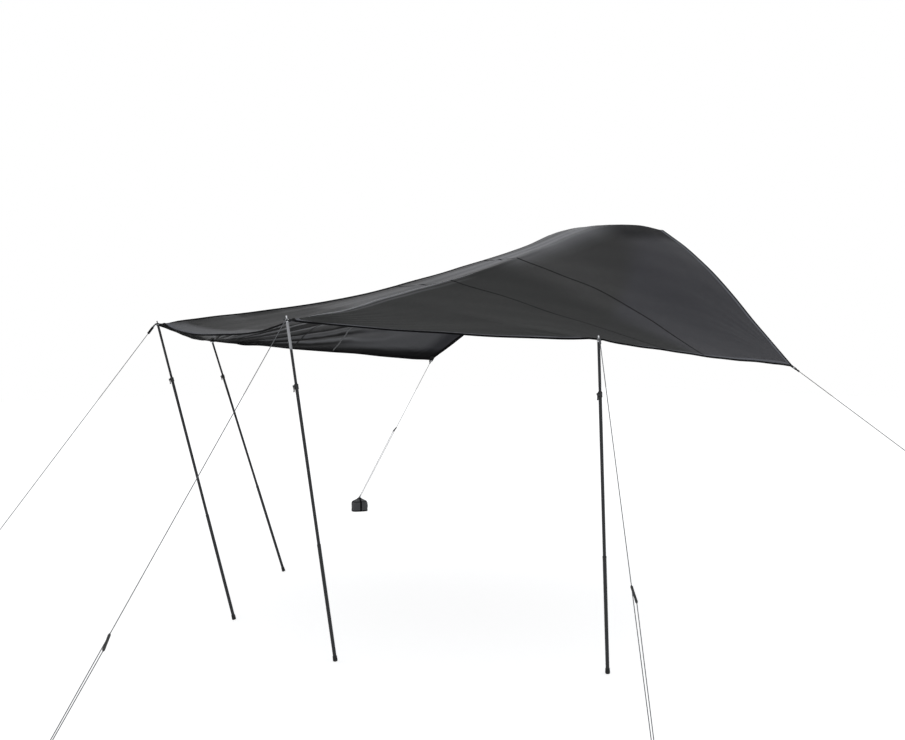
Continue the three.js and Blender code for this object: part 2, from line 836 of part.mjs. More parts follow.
// A strap under the crest, with a hook that hangs from it.
function tentStrap(place) {
  const half = tentStrapWidth / 2;
  const shape = new THREE.Shape();
  shape.moveTo(-half, tentStrapSpare);
  shape.lineTo(-half, -tentStrapLength + half);
  shape.absarc(0, -tentStrapLength + half, half, Math.PI, 2 * Math.PI);
  shape.lineTo(half, tentStrapSpare);
  const hole = new THREE.Path();
  hole.absarc(0, -tentStrapLength + tentHoleInset, tentHoleRadius, 0, 2 * Math.PI, true);
  shape.holes.push(hole);
  const geometry = new THREE.ExtrudeGeometry(shape, {
    depth: tentStrapThickness,
    bevelEnabled: false,
    curveSegments: 8,
  });
  geometry.translate(0, 0, -tentStrapThickness / 2);
  geometry.rotateX(Math.PI / 2);
  geometry.translate(place.x, place.y, place.z);
  return belowCloth(geometry);
}

// An S hook in the YZ plane: its top bend hangs in the strap's hole, with the other bend below it.
function tentHook() {
  const stations = [];
  const bendSteps = 10;
  for (let i = 0; i <= bendSteps; i += 1) {
    const angle = -hookSweep / 2 + hookSweep * i / bendSteps;
    stations.push(new THREE.Vector3(0, hookBend * Math.sin(angle), hookBend * Math.cos(angle)));
  }
  const turnBack = 2 * stations[bendSteps].y;
  for (let i = 0; i <= bendSteps; i += 1) {
    const angle = hookSweep / 2 - hookSweep * i / bendSteps;
    const y = turnBack - hookBend * Math.sin(angle);
    stations.push(new THREE.Vector3(0, y, -hookShank - hookBend * Math.cos(angle)));
  }
  const geometry = cordAlong(stations, hookWire, cordSides);
  geometry.rotateX(-Math.atan2(turnBack, hookShank));
  return geometry;
}

function addTentStrap(name, side) {
  const place = new THREE.Vector3(side * tentStrapOut, crest.y - tentStrapBack, crest.z);
  addMesh(`tent_strap_${name}`, tentStrap(place), colours.webbing);
  const hook = addMesh(`tent_hook_${name}`, tentHook(), colours.steel);
  const eyeBottom = place.z - tentStrapLength + tentHoleInset - tentHoleRadius;
  hook.position.set(place.x, place.y, eyeBottom + hookWire + fitGap - hookBend);
}

function build() {
  addMesh('canopy', sheetSolid(canopyRows, clothThickness), colours.cloth);
  const sides = { near: 1, far: -1 };
  const poleFeet = { outer: outerFoot, middle: middleFoot };
  for (const [sideName, side] of Object.entries(sides)) {
    for (const kind of ['outer', 'middle', 'inner']) {
      const name = `${kind}_${sideName}`;
      const tab = addTab(name, side, kind);
      if (kind in poleFeet) addPole(name, side, poleFeet[kind], tab, upperTubeShows[kind]);
      if (name in bagPlaces) addGuy(name, tab);
    }
    addTentStrap(sideName, side);
  }
}

// The origin is on the ground, below the middle of the awning without its guy lines.
function centre() {
  const onGuyLine = /^(guy_line|slider|weight_ring|weight_bag)_/;
  const bounds = new THREE.Box3();
  root.updateMatrixWorld(true);
  root.traverse((item) => {
    if (item.isMesh && !onGuyLine.test(item.name)) bounds.expandByObject(item, true);
  });
  const middle = bounds.getCenter(new THREE.Vector3());
  for (const item of root.children) {
    item.position.x -= middle.x;
    item.position.y -= middle.y;
  }
}

build();
centre();

export default root;
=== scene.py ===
import math
from contextlib import contextmanager

import bpy
import numpy as np
from mathutils import Matrix, Vector
from mathutils.bvhtree import BVHTree


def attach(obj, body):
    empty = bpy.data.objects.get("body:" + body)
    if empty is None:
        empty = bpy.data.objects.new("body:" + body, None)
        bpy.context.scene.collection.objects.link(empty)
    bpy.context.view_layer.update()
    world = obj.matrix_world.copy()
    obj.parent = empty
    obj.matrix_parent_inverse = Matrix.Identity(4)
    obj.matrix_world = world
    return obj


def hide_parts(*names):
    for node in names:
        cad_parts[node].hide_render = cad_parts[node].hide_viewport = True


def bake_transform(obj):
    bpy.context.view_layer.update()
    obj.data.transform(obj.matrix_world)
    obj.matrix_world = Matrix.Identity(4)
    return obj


# A free-standing fabric awning. Metres, +Z up, +X the near side, +Y along the ridge.

# ---- Sizes shared with the solids ----
ROW_SHIFT = -1.39441
OUTER_CORNER = (0.821, -0.427, 1.944)
MIDDLE_CORNER = (2.101, 0.598, 1.845)
INNER_CORNER = (1.857, 2.617, 1.681)
CREST = (0.283, 3.230, 2.704)
CREST_ARCH = 0.018
CLOTH_THICKNESS = 0.002
CORNER_CUT = 0.045
OUTER_SAG = 0.080
OUTER_SCALLOP = 0.022
SIDE_SAGS = (0.022, 0.010)
SIDE_SCALLOPS = (0.020, 0.030)
FACE_BULGE = 0.068
RIDGE_VALLEY = 0.080
# Curves of the cloth, as [share, value] pairs.
HIP_RISE = [(0, 0), (0.12, -0.026), (0.2, -0.031), (0.37, -0.024), (0.53, 0)]
HIP_RISE += [(0.7, 0.056), (0.83, 0.116), (0.93, 0.078), (1, 0)]
HIP_OUT = [(0, 0.821), (0.12, 0.676), (0.2, 0.525), (0.3, 0.425), (0.45, 0.330)]
HIP_OUT += [(0.6, 0.225), (0.73, 0.170), (0.86, 0.200), (1, 0.283)]
HIP_SHARES = [(0, 0), (0.25, 0.12), (0.44, 0.25), (0.54, 0.36), (0.7, 0.53), (0.86, 0.76), (1, 1)]
VALLEY_SHARES = [(0, 0), (0.3, -0.5), (0.6, -0.16), (0.85, 0.3), (1, 1)]
BULGE_SHARES = [(0, 0), (0.45, -0.3), (0.75, 0.1), (1, 1)]
BULGE_ACROSS_SHARES = [(0, 0), (0.2, 0.68), (0.5, 1), (0.78, 0.36), (1, 0)]
OUTER_ROW_SHARE = 0.44
INNER_ROW_SHARE = 0.46
# Each corner tab's eye, the way out of the cloth and the way up, on the near side.
TAB_FRAMES = {
    "outer": ((0.81617, -1.81859, 1.94635), (-0.484486, -0.87326, 0.051872), (0.244937, -0.07849, 0.966357)),
    "middle": ((2.10082, -0.79141, 1.83864), (0.977863, -0.150559, -0.145312), (0.150643, 0.024566, 0.988283)),
    "inner": ((1.86830, 1.22759, 1.66897), (0.763982, 0.304000, -0.569136), (0.581717, 0.057123, 0.811383)),
}


def through(pairs, share):
    """A smooth curve through [share, value] pairs, for a number or an array."""
    share = np.asarray(share, float)
    xs = np.array([p[0] for p in pairs], float)
    ys = np.array([p[1] for p in pairs], float)
    before = np.maximum(np.arange(len(xs)) - 1, 0)
    after = np.minimum(np.arange(len(xs)) + 1, len(xs) - 1)
    slope = (ys[after] - ys[before]) / (xs[after] - xs[before])
    i = np.clip(np.searchsorted(xs, share, side="left") - 1, 0, len(xs) - 2)
    width = xs[i + 1] - xs[i]
    t = (share - xs[i]) / width
    t2, t3 = t * t, t * t * t
    return (
        (2 * t3 - 3 * t2 + 1) * ys[i]
        + (t3 - 2 * t2 + t) * width * slope[i]
        + (3 * t2 - 2 * t3) * ys[i + 1]
        + (t3 - t2) * width * slope[i + 1]
    )


def side_row(inner, share):
    """Row shares along the side edge: inner is 0 from the outer corner and 1 on to the inner one."""
    return INNER_ROW_SHARE + (1 - INNER_ROW_SHARE) * share if inner else OUTER_ROW_SHARE * share


def side_edge(inner, share):
    """Points of the near side edge."""
    corners = [np.array(c) for c in (OUTER_CORNER, MIDDLE_CORNER, INNER_CORNER)]
    low, high = corners[inner], corners[inner + 1]
    along = (high - low) / np.linalg.norm(high - low)
    start = low + along * CORNER_CUT
    end = high if inner else high - along * CORNER_CUT
    slack = 4 * share * (1 - share)
    inward = np.array([-along[1], along[0], 0])
    inward /= np.linalg.norm(inward)
    point = start + share[..., None] * (end - start)
    point = point + (slack * SIDE_SCALLOPS[inner])[..., None] * inward
    point[..., 2] -= slack * SIDE_SAGS[inner]
    return point


def hip_point(row):
    """A point on the near crease."""
    low, high = np.array(OUTER_CORNER), np.array(CREST)
    start = low + (high - low) / np.linalg.norm(high - low) * CORNER_CUT
    share = through(HIP_SHARES, row)
    point = start + share[..., None] * (high - start)
    point[..., 0] = np.minimum(start[0], through(HIP_OUT, share))
    point[..., 2] += through(HIP_RISE, share)
    return point


def strip_point(row, across):
    """A point between the two creases: across runs from 0 on the ridge to 1 on the near crease."""
    point = hip_point(row)
    point[..., 0] = point[..., 0] * across
    valley = through(VALLEY_SHARES, row)
    fade = np.maximum(0, 1 - row / INNER_ROW_SHARE)
    point[..., 2] += np.where(valley > 0, valley * CREST_ARCH, valley * RIDGE_VALLEY) * (1 - across**2)
    point[..., 2] -= OUTER_SAG * (1 - np.abs(across) ** 3) * fade**2
    point[..., 1] -= (CORNER_CUT - OUTER_SCALLOP) * (1 - across**6) * fade**6
    return point


def face_point(edge, row, share):
    """A point on the near face: share runs from 0 on the crease to 1 on the side edge."""
    hip = hip_point(row)
    point = hip + share[..., None] * (edge - hip)
    point[..., 2] += FACE_BULGE * through(BULGE_SHARES, row) * through(BULGE_ACROSS_SHARES, share)
    return point


def mirrored(place, side):
    return Vector((side * place[0], place[1], place[2]))


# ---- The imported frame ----
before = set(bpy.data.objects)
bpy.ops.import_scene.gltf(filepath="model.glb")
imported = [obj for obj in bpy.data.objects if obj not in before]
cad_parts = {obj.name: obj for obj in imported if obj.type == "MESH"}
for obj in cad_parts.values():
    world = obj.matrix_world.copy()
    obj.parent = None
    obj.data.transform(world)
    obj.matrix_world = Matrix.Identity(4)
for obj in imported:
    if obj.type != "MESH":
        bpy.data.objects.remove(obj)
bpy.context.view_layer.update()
SIDES = {"near": 1, "far": -1}


# ---- Camera ----
CAMERA_AT = (5.911, -3.407 + ROW_SHIFT, 1.814)
CAMERA_AZIMUTH = 51.10
CAMERA_DOWN = 1.312
PICTURE_WIDTH = 905
FOCAL_PIXELS = 1100.17


def set_up(name, data, place, ahead):
    """Puts a camera or a lamp into the scene, looking ahead."""
    made = bpy.data.objects.new(name, data)
    bpy.context.scene.collection.objects.link(made)
    made.location = place
    made.rotation_mode = "QUATERNION"
    made.rotation_quaternion = ahead.to_track_quat("-Z", "Y")
    return made


def add_camera():
    data = bpy.data.cameras.new("view_camera")
    data.sensor_width = 36
    data.lens = data.sensor_width * FOCAL_PIXELS / PICTURE_WIDTH
    data.clip_start = 0.05
    data.clip_end = 200
    a, d = math.radians(CAMERA_AZIMUTH), math.radians(CAMERA_DOWN)
    ahead = Vector((-math.sin(a) * math.cos(d), math.cos(a) * math.cos(d), -math.sin(d)))
    bpy.context.scene.camera = set_up("view_camera", data, CAMERA_AT, ahead)


add_camera()


# ---- Shader nodes ----
class Value:
    """A value in a node tree: each sum, difference, product or quotient of values adds a maths node."""

    def __init__(self, nodes, socket):
        self.nodes, self.socket = nodes, socket

    def __add__(self, other):
        return self.nodes.maths("ADD", self, other)

    def __sub__(self, other):
        return self.nodes.maths("SUBTRACT", self, other)

    def __rsub__(self, other):
        return self.nodes.maths("SUBTRACT", other, self)

    def __mul__(self, other):
        return self.nodes.maths("MULTIPLY", self, other)

    def __truediv__(self, other):
        return self.nodes.maths("DIVIDE", self, other)


class Nodes:
    """A node tree being built: add() makes a node and links or sets its inputs."""

    def __init__(self, tree):
        self.tree = tree

    def set(self, node, key, value):
        """Links or sets an input: in0 is the first one, and a name has _ for each space."""
        socket = node.inputs[int(key[2:]) if key.startswith("in") else key.replace("_", " ")]
        if isinstance(value, Value):
            value = value.socket
        if isinstance(value, bpy.types.NodeSocket):
            self.tree.links.new(value, socket)
        else:
            socket.default_value = value

    def add(self, kind, settings=None, **inputs):
        node = self.tree.nodes.new(kind)
        for key, value in (settings or {}).items():
            setattr(node, key, value)
        for key, value in inputs.items():
            self.set(node, key, value)
        return node

    def maths(self, operation, a, b=0.0):
        return Value(self, self.add("ShaderNodeMath", {"operation": operation}, in0=a, in1=b).outputs[0])

    def sine(self, value):
        return self.maths("SINE", value)

    def size(self, value):
        return self.maths("ABSOLUTE", value)

    def most(self, a, b):
        return self.maths("MAXIMUM", a, b)

    def below(self, value, limit):
        return self.maths("LESS_THAN", value, limit)

    def above(self, value, limit):
        return self.maths("GREATER_THAN", value, limit)

    def mix(self, share, a, b):
        node = self.add("ShaderNodeMix", {"data_type": "RGBA"}, in0=share, in6=a, in7=b)
        return node.outputs[2]

    def split(self, place):
        node = self.add("ShaderNodeSeparateXYZ", in0=place)
        return [Value(self, socket) for socket in node.outputs]

    def vector(self, operation, a, b):
        return self.add("ShaderNodeVectorMath", {"operation": operation}, in0=a, in1=b).outputs[0]

    def noise(self, place, scale, detail, roughness=0.5):
        node = self.add("ShaderNodeTexNoise", Vector=place, Scale=scale, Detail=detail, Roughness=roughness)
        return Value(self, node.outputs["Fac"])

    def between(self, value, low, high):
        """0 at low and 1 at high."""
        node = self.add("ShaderNodeMapRange", Value=value, From_Min=low, From_Max=high)
        return Value(self, node.outputs[0])

    def ramp(self, value, stops, low, high):
        """A smooth curve through [place, value] stops, as a grey ramp over low to high."""
        node = self.add("ShaderNodeValToRGB", in0=self.between(value, low, high))
        node.color_ramp.interpolation = "EASE"
        elements = node.color_ramp.elements
        while len(elements) < len(stops):
            elements.new(0.5)
        for element, (place, grey) in zip(elements, stops):
            element.position = (place - low) / (high - low)
            element.color = (grey, grey, grey, 1)
        return Value(self, node.outputs[0])

    def place(self, source="Object"):
        return self.add("ShaderNodeTexCoord").outputs[source]

    def use(self, tree, place, **values):
        """Puts a node group at a place, and gives its outputs by name."""
        node = self.add("ShaderNodeGroup", {"node_tree": tree}, Place=place, **values)
        return {socket.name: Value(self, socket) for socket in node.outputs}

    def give(self, **outputs):
        """Ends a node group with these outputs."""
        for label in outputs:
            self.tree.interface.new_socket(label, in_out="OUTPUT", socket_type="NodeSocketFloat")
        self.add("NodeGroupOutput", **outputs)
        return self.tree


def make_group(name, **inputs):
    """A node group at a place, with more inputs and their usual values."""
    tree = bpy.data.node_groups.new(name, "ShaderNodeTree")
    tree.interface.new_socket("Place", in_out="INPUT", socket_type="NodeSocketVector")
    for label, value in inputs.items():
        kind = "NodeSocketFloat" if isinstance(value, float) else "NodeSocketVector"
        tree.interface.new_socket(label, in_out="INPUT", socket_type=kind).default_value = value
    n = Nodes(tree)
    given = n.add("NodeGroupInput")
    return n, *[Value(n, given.outputs[label]) for label in ("Place", *inputs)]


def weave_group():
    """Crossing threads: a height over the surface and a mask of the thicker ripstop threads."""
    n, place, pitch, grid_size = make_group("woven_threads", Pitch=0.001, Grid=0.006)
    threads = n.split(place)[:2]
    warp, weft = (n.sine(v / pitch * math.tau) for v in threads)
    both = n.most(*(n.below(n.maths("PINGPONG", v / grid_size, 0.5), 0.07) for v in threads))
    return n.give(Height=warp * weft * 0.5 + both * 0.6, Lines=both)


def twill_group():
    """Slanting ribs of webbing and cord, from a place along and across it."""
    n, place, pitch = make_group("slanting_ribs", Pitch=0.0016)
    along, across, _ = n.split(place)
    slant = along + n.maths("PINGPONG", across, pitch)
    height = n.sine(slant / pitch * math.tau) * 0.5 + 0.5
    return n.give(Height=height, Groove=n.below(height, 0.18))


def patch_group():
    """Soft uneven patches from 0 to 1, such as dust, faded spots or uneven dye."""
    n, place, size, sharpness = make_group("soft_patches", Size=0.3, Sharpness=0.5)
    sizes = n.add("ShaderNodeCombineXYZ", X=size, Y=size, Z=size)
    scaled = n.vector("DIVIDE", place, sizes.outputs[0])
    edge = sharpness * 0.25
    mask = n.between(n.noise(scaled, 1.0, 4.0, 0.55), 0.5 - edge, edge + 0.5)
    return n.give(Mask=mask, Fine=n.noise(scaled, 14.0, 5.0, 0.6))


def stitch_group():
    """Two rows of stitches, from a place along the seam and across it."""
    n, place, length, inset, width = make_group("stitch_rows", Length=0.005, Inset=0.004, Width=0.0011)
    along, across, _ = n.split(place)
    steps = along / length
    dash = n.below(n.maths("FRACT", steps), 0.68)
    row = n.below(n.size(n.size(across) - inset), width)
    return n.give(Thread=dash * row, Pucker=n.size(n.sine(steps * math.pi)) * 0.5)


def rubbing_group():
    """Fine rubbing marks along one direction of the object."""
    n, place, stretch = make_group("rubbing_marks", Stretch=(900.0, 900.0, 12.0))
    grain = n.noise(n.vector("MULTIPLY", place, stretch), 1.0, 3.0)
    return n.give(Marks=n.between(grain, 0.62, 0.74), Grain=grain)


# Painted sheen, highlights, shade and light on the canopy: [across, value] and [row share, value] stops.
# STRIP: painted sheen along the strip between the two creases.
STRIP_ACROSS = [(-1.1, 0), (-0.9, 0.12), (-0.75, 0.4), (-0.5, 0.3), (-0.3, 0.75), (-0.1, 0.95)]
STRIP_ACROSS += [(0.6, 1), (0.86, 0.5), (0.97, 0)]
STRIP_ROWS = [(0.05, 0), (0.2, 0.06), (0.36, 0.1), (0.46, 0.44), (0.6, 0.48), (0.7, 0.74)]
STRIP_ROWS += [(0.77, 1), (0.9, 1), (0.96, 0.2), (1, 0)]
# HEM: painted sheen under the outer hem.
HEM_ACROSS = [(-1.05, 0), (-0.85, 1), (0.6, 0.9), (0.95, 0.3), (1, 0)]
HEM_ROWS = [(0, 1), (0.05, 0.9), (0.09, 0)]
# LINE: a painted highlight along the near crease.
LINE_ACROSS = [(0.93, 0), (0.975, 0.7), (1.003, 0.7), (1.008, 0), (1.027, 0), (1.034, 0.3), (1.043, 0)]
LINE_ROWS = [(0.05, 0), (0.12, 0.6), (0.25, 0.9), (0.45, 1), (0.55, 0.5), (0.65, 0)]
# CREASE: painted shade along both creases.
CREASE_ACROSS = [(-1.03, 0), (-1.01, 1), (-0.985, 1), (-0.96, 0), (0.99, 0), (1.01, 0.3), (1.02, 0.3), (1.028, 0)]
CREASE_ROWS = [(0.04, 0), (0.15, 1), (0.5, 1), (0.75, 0.8), (0.82, 0)]
# SHEEN: painted sheen on the face just below the near crease.
SHEEN_ACROSS = [(0.9, 0.6), (0.99, 0.8), (1.03, 0.45), (1.06, 0.22), (1.09, 0.08), (1.13, 0)]
SHEEN_ROWS = [(0.68, 0), (0.77, 0.8), (0.82, 1), (0.93, 1), (0.97, 0)]
# CREST: painted shade at the crest.
CREST_ACROSS = [(-0.1, 0), (0.3, 0.45), (0.65, 0.8), (1.08, 0.8), (1.2, 0)]
CREST_ROWS = [(0.88, 0), (0.935, 1)]
# OUTER: painted light on the near face's outer panel; INNER: bluish painted light towards the canopy's inner end.
OUTER_ROWS = [(0.68, 1), (0.76, 0)]
INNER_ROWS = [(0.9, 0), (0.96, 1)]
INNER_SLANT = 0.69
# FAR_HEM: painted shade along the far hem.
FAR_HEM = [(-1.96, 1), (-1.9, 0)]
# STREAK: painted light and shade along the folds at the far middle corner; the cloth's folds share their turns, drift
# and bend.
STREAK_TURNS = 27
STREAK_REACH = 0.95
STREAK_DRIFT = 2.2
STREAK_BEND = 1.7
STREAK_FADE = [(0.02, 0), (0.2, 1), (1.0, 1), (1.3, 0.5), (1.7, 0.1), (2.0, 0)]


def painted_light_group():
    """Where the canopy has painted sheen, highlights, shade and light, and where it is matt, from its place across the
    panels and along the rows.
    """
    n, place = make_group("fading")
    across, row, _ = n.split(place)

    def patch(across_stops, row_stops):
        return n.ramp(across, across_stops, -2, 2) * n.ramp(row, row_stops, 0, 1)

    pale = n.most(patch(STRIP_ACROSS, STRIP_ROWS), patch(SHEEN_ACROSS, SHEEN_ROWS))
    crease = n.most(patch(CREASE_ACROSS, CREASE_ROWS), patch(CREST_ACROSS, CREST_ROWS))
    dark = n.most(crease, n.ramp(across, FAR_HEM, -2, 2))
    out_on_face = n.most(across - 1.05, 0.0)
    slant = row + out_on_face * out_on_face * INNER_SLANT
    face = n.above(across, 1) * n.ramp(row, OUTER_ROWS, 0, 1)
    strip = n.above(across, -1) * n.below(row, 0.4)
    return n.give(
        Pale=n.most(pale, patch(HEM_ACROSS, HEM_ROWS) * 0.55),
        Line=patch(LINE_ACROSS, LINE_ROWS),
        Dark=dark,
        Inner=n.ramp(slant, INNER_ROWS, 0, 1.2),
        Outer=face,
        Matt=n.most(n.most(strip * 0.25, face * 0.8), dark),
    )


def fold_shading_group():
    """Painted light and shade: pale and dark bands along the folds that run out of the far middle corner."""
    n, place = make_group("fold_streaks")
    eye = TAB_FRAMES["middle"][0]
    x, y, _ = n.split(place)
    dx, dy = x + eye[0], y - eye[1]
    away = n.maths("SQRT", dx * dx + dy * dy)
    bend = n.sine(away * (STREAK_BEND / STREAK_REACH)) * STREAK_DRIFT
    uneven = (n.noise(place, 1.6, 3.0, 0.6) - 0.5) * 7.0
    turns = n.maths("ARCTAN2", dy, dx) * STREAK_TURNS + bend + uneven
    wave = n.sine(turns) + n.sine(turns * 2.3) * 0.45
    wave = wave * n.ramp(away, STREAK_FADE, 0, 3) * n.below(x, -0.3)
    return n.give(Pale=n.most(wave, 0.0), Dark=n.most(wave * -1.0, 0.0))


WEAVE = weave_group()
PAINTED_LIGHT = painted_light_group()
FOLD_SHADING = fold_shading_group()
TWILL = twill_group()
PATCHES = patch_group()
STITCHES = stitch_group()
RUBBING = rubbing_group()


# ---- Materials ----
def new_material(name, roughness, specular=0.5, metallic=0.0):
    material = bpy.data.materials.new(name)
    material.use_nodes = True
    material.node_tree.nodes.clear()
    n = Nodes(material.node_tree)
    surface = n.add("ShaderNodeBsdfPrincipled", Roughness=roughness, Metallic=metallic, Specular_IOR_Level=specular)
    n.add("ShaderNodeOutputMaterial", Surface=surface.outputs[0])
    return material, n, surface


def dress(n, surface, base, height, distance, strength, roughness=None):
    """Links a material's colour, bump and, where it varies, its roughness."""
    n.set(surface, "Base_Color", base)
    if roughness:
        n.set(surface, "Roughness", roughness)
    node = n.add("ShaderNodeBump", Height=height, Distance=distance, Strength=strength)
    n.set(surface, "Normal", node.outputs[0])


def shade(colour, factor=1.0):
    return (*[c * factor for c in colour], 1.0)


# Painted tones of the canopy, in order: a painted highlight, painted sheen, painted shade, and painted light for the
# inner and the outer panels.
BRIGHT_CLOTH = (0.42, 0.42, 0.435, 1)
PALE_CLOTH = (0.212, 0.214, 0.226, 1)
DARK_CLOTH = (0.004, 0.004, 0.0045, 1)
INNER_CLOTH = (0.0330, 0.0333, 0.0415, 1)
OUTER_CLOTH = (0.0282, 0.0290, 0.0286, 1)


def add_painted_light(n, base):
    """Lays the canopy's painted sheen, highlights, shade and light over its base colour, and gives where it is matt.
    """
    panel = n.add("ShaderNodeUVMap", {"uv_map": "panel"})
    fading = n.use(PAINTED_LIGHT, panel.outputs["UV"])
    fold_shading = n.use(FOLD_SHADING, n.place())
    for share, colour in (
        (fading["Inner"] * 0.8, INNER_CLOTH),
        (fading["Outer"] * 0.9, OUTER_CLOTH),
        (fold_shading["Pale"] * 0.7, PALE_CLOTH),
        (fold_shading["Dark"] * 0.7, DARK_CLOTH),
        (fading["Pale"], PALE_CLOTH),
        (fading["Dark"], DARK_CLOTH),
        (fading["Line"], BRIGHT_CLOTH),
    ):
        base = n.mix(share, base, colour)
    return base, n.most(fading["Matt"], fold_shading["Dark"])


def cloth_material(name, colour, light, pitch, grid_size, weave_depth, patch_size, roughness, specular, fading=False):
    material, n, surface = new_material(name, roughness, specular)
    threads = n.use(WEAVE, n.place("UV"), Pitch=pitch, Grid=grid_size)
    patches = n.use(PATCHES, n.place(), Size=patch_size, Sharpness=1.2)
    base = n.mix(patches["Mask"], shade(colour, 0.92), shade(colour, 1.1))
    base = n.mix(threads["Lines"] * 0.30, base, shade(colour, light))
    base = n.mix(patches["Fine"] * 0.22, base, shade(colour, 1.35))
    rough = patches["Fine"] * 0.10 + (roughness - 0.05)
    # The canopy alone gets painted sheen, highlights, shade and light.
    if fading:
        base, matt = add_painted_light(n, base)
        rough = rough + matt * 0.26
    dress(n, surface, base, threads["Height"], weave_depth, 0.6, rough)
    return material


def webbing_material(name, colour, pitch, thread=None, inset=0.0, stitch_width=0.0):
    material, n, surface = new_material(name, 0.85, 0.06)
    uv = n.place("UV")
    ribs = n.use(TWILL, uv, Pitch=pitch)
    patches = n.use(PATCHES, n.place(), Size=0.05, Sharpness=1.5)
    # The grooves between the ribs are darker: painted shade in the recesses.
    base = n.mix(ribs["Groove"], shade(colour, 1.15), shade(colour, 0.55))
    base = n.mix(patches["Mask"] * 0.35, base, shade(colour, 1.8))
    height = ribs["Height"]
    if thread:
        rows = n.use(STITCHES, uv, Inset=inset, Width=stitch_width)
        base = n.mix(rows["Thread"], base, shade(thread))
        height = height + rows["Thread"] * 1.2
    dress(n, surface, base, height, 0.0004, 0.8)
    return material


def seam_material(name, colour, thread, inset, stitch_width):
    material, n, surface = new_material(name, 0.85, 0.05)
    uv = n.place("UV")
    threads = n.use(WEAVE, uv, Pitch=0.0012, Grid=0.0065)
    rows = n.use(STITCHES, uv, Inset=inset, Width=stitch_width, Length=0.0075)
    patches = n.use(PATCHES, n.place(), Size=0.12, Sharpness=2.0)
    base = n.mix(patches["Mask"], shade(colour, 0.8), shade(colour, 1.25))
    base = n.mix(rows["Thread"], base, shade(thread))
    height = threads["Height"] * 0.3 + rows["Pucker"] + rows["Thread"] * 0.8
    dress(n, surface, base, height, 0.0006, 0.7)
    return material


def metal_material(name, colour, metallic, roughness, worn, stretch, highlight_above=None):
    material, n, surface = new_material(name, roughness, metallic=metallic)
    marks = n.use(RUBBING, n.place(), Stretch=stretch)
    patches = n.use(PATCHES, n.place(), Size=0.08, Sharpness=1.2)
    base = n.mix(marks["Marks"] * 0.35, shade(colour), shade(worn))
    base = n.mix(patches["Mask"] * 0.25, base, shade(colour, 1.35))
    # Above a height, a painted highlight: a light grey with a ragged lower edge.
    if highlight_above:
        ragged = n.split(n.place())[2] + patches["Fine"] * 0.01
        base = n.mix(n.between(ragged, highlight_above, highlight_above + 0.012), base, HIGHLIGHT_METAL)
    rough = patches["Fine"] * 0.14 + (roughness - 0.06)
    dress(n, surface, base, marks["Grain"], 0.00015, 0.35, rough)
    return material


def moulded_material(name, colour, roughness, grain, depth):
    material, n, surface = new_material(name, roughness, 0.45)
    place = n.place()
    patches = n.use(PATCHES, place, Size=0.03, Sharpness=1.4)
    pits = n.noise(place, grain, 2.0)
    base = n.mix(patches["Mask"], shade(colour, 0.85), shade(colour, 1.3))
    base = n.mix(patches["Fine"] * 0.3, base, shade(colour, 2.2))
    dress(n, surface, base, pits, depth, 0.6, pits * 0.16 + (roughness - 0.08))
    return material


# The light grey of a painted highlight near the top of one upper tube.
HIGHLIGHT_METAL = (0.34, 0.345, 0.36, 1)
CLOTH_COLOUR = (0.0215, 0.0218, 0.0222)
WEBBING_COLOUR = (0.006, 0.006, 0.0066)
BAG_COLOUR = (0.085, 0.087, 0.090)
HEM_THREAD = (0.05, 0.05, 0.052)
TAB_THREAD = (0.07, 0.07, 0.072)
TUBE_LOOK = ((0.020, 0.021, 0.023), 0.55, 0.36, (0.10, 0.10, 0.105), (700, 700, 9))

canopy_cloth = cloth_material("canopy_cloth", CLOTH_COLOUR, 1.35, 0.0012, 0.0065, 0.00022, 0.45, 0.52, 0.06, True)
bag_cloth = cloth_material("bag_cloth", BAG_COLOUR, 1.5, 0.0016, 0.0048, 0.0005, 0.06, 0.7, 0.3)
# hem_fold's pale tone is a painted highlight along the hem; far_hem_fold's dark tone is painted shade under the far
# hem.
hem_fold = seam_material("hem_fold", (0.15, 0.152, 0.168), (0.24, 0.242, 0.248), 0.0072, 0.0006)
far_hem_fold = seam_material("far_hem_fold", (0.008, 0.008, 0.0085), (0.03, 0.03, 0.031), 0.0072, 0.0006)
# seam_cloth is darker than the cloth, painted shade along the seams; far_seam_cloth's pale tone is a painted highlight
# under the far part of the second seam; plain_seam_cloth is a lighter tone for the far part of the first seam.
seam_cloth = seam_material("seam_cloth", (0.009, 0.009, 0.0092), (0.004, 0.004, 0.0045), 0.0038, 0.0009)
far_seam_cloth = seam_material("far_seam_cloth", (0.30, 0.302, 0.305), (0.18, 0.18, 0.182), 0.0038, 0.0009)
plain_seam_cloth = seam_material("plain_seam_cloth", (0.05, 0.0502, 0.0505), (0.03, 0.03, 0.0305), 0.0038, 0.0009)
# A pale tone for the near crease's piping: a painted highlight.
crease_cloth = webbing_material("crease_cloth", (0.36, 0.362, 0.372), 0.0016)
hem_binding = webbing_material("hem_binding", WEBBING_COLOUR, 0.0014, HEM_THREAD, 0.0048, 0.0005)
tab_webbing = webbing_material("tab_webbing", WEBBING_COLOUR, 0.0019, TAB_THREAD, 0.020, 0.0006)
inner_tab_webbing = webbing_material("inner_tab_webbing", CLOTH_COLOUR, 0.0019, HEM_THREAD, 0.020, 0.0006)
strap_webbing = webbing_material("strap_webbing", (0.006, 0.006, 0.0064), 0.0019, TAB_THREAD, 0.0095, 0.0006)
cord_braid = webbing_material("cord_braid", (0.17, 0.172, 0.178), 0.0034)
dark_braid = webbing_material("dark_braid", (0.006, 0.006, 0.0065), 0.0034)
tube_finish = metal_material("tube_finish", *TUBE_LOOK)
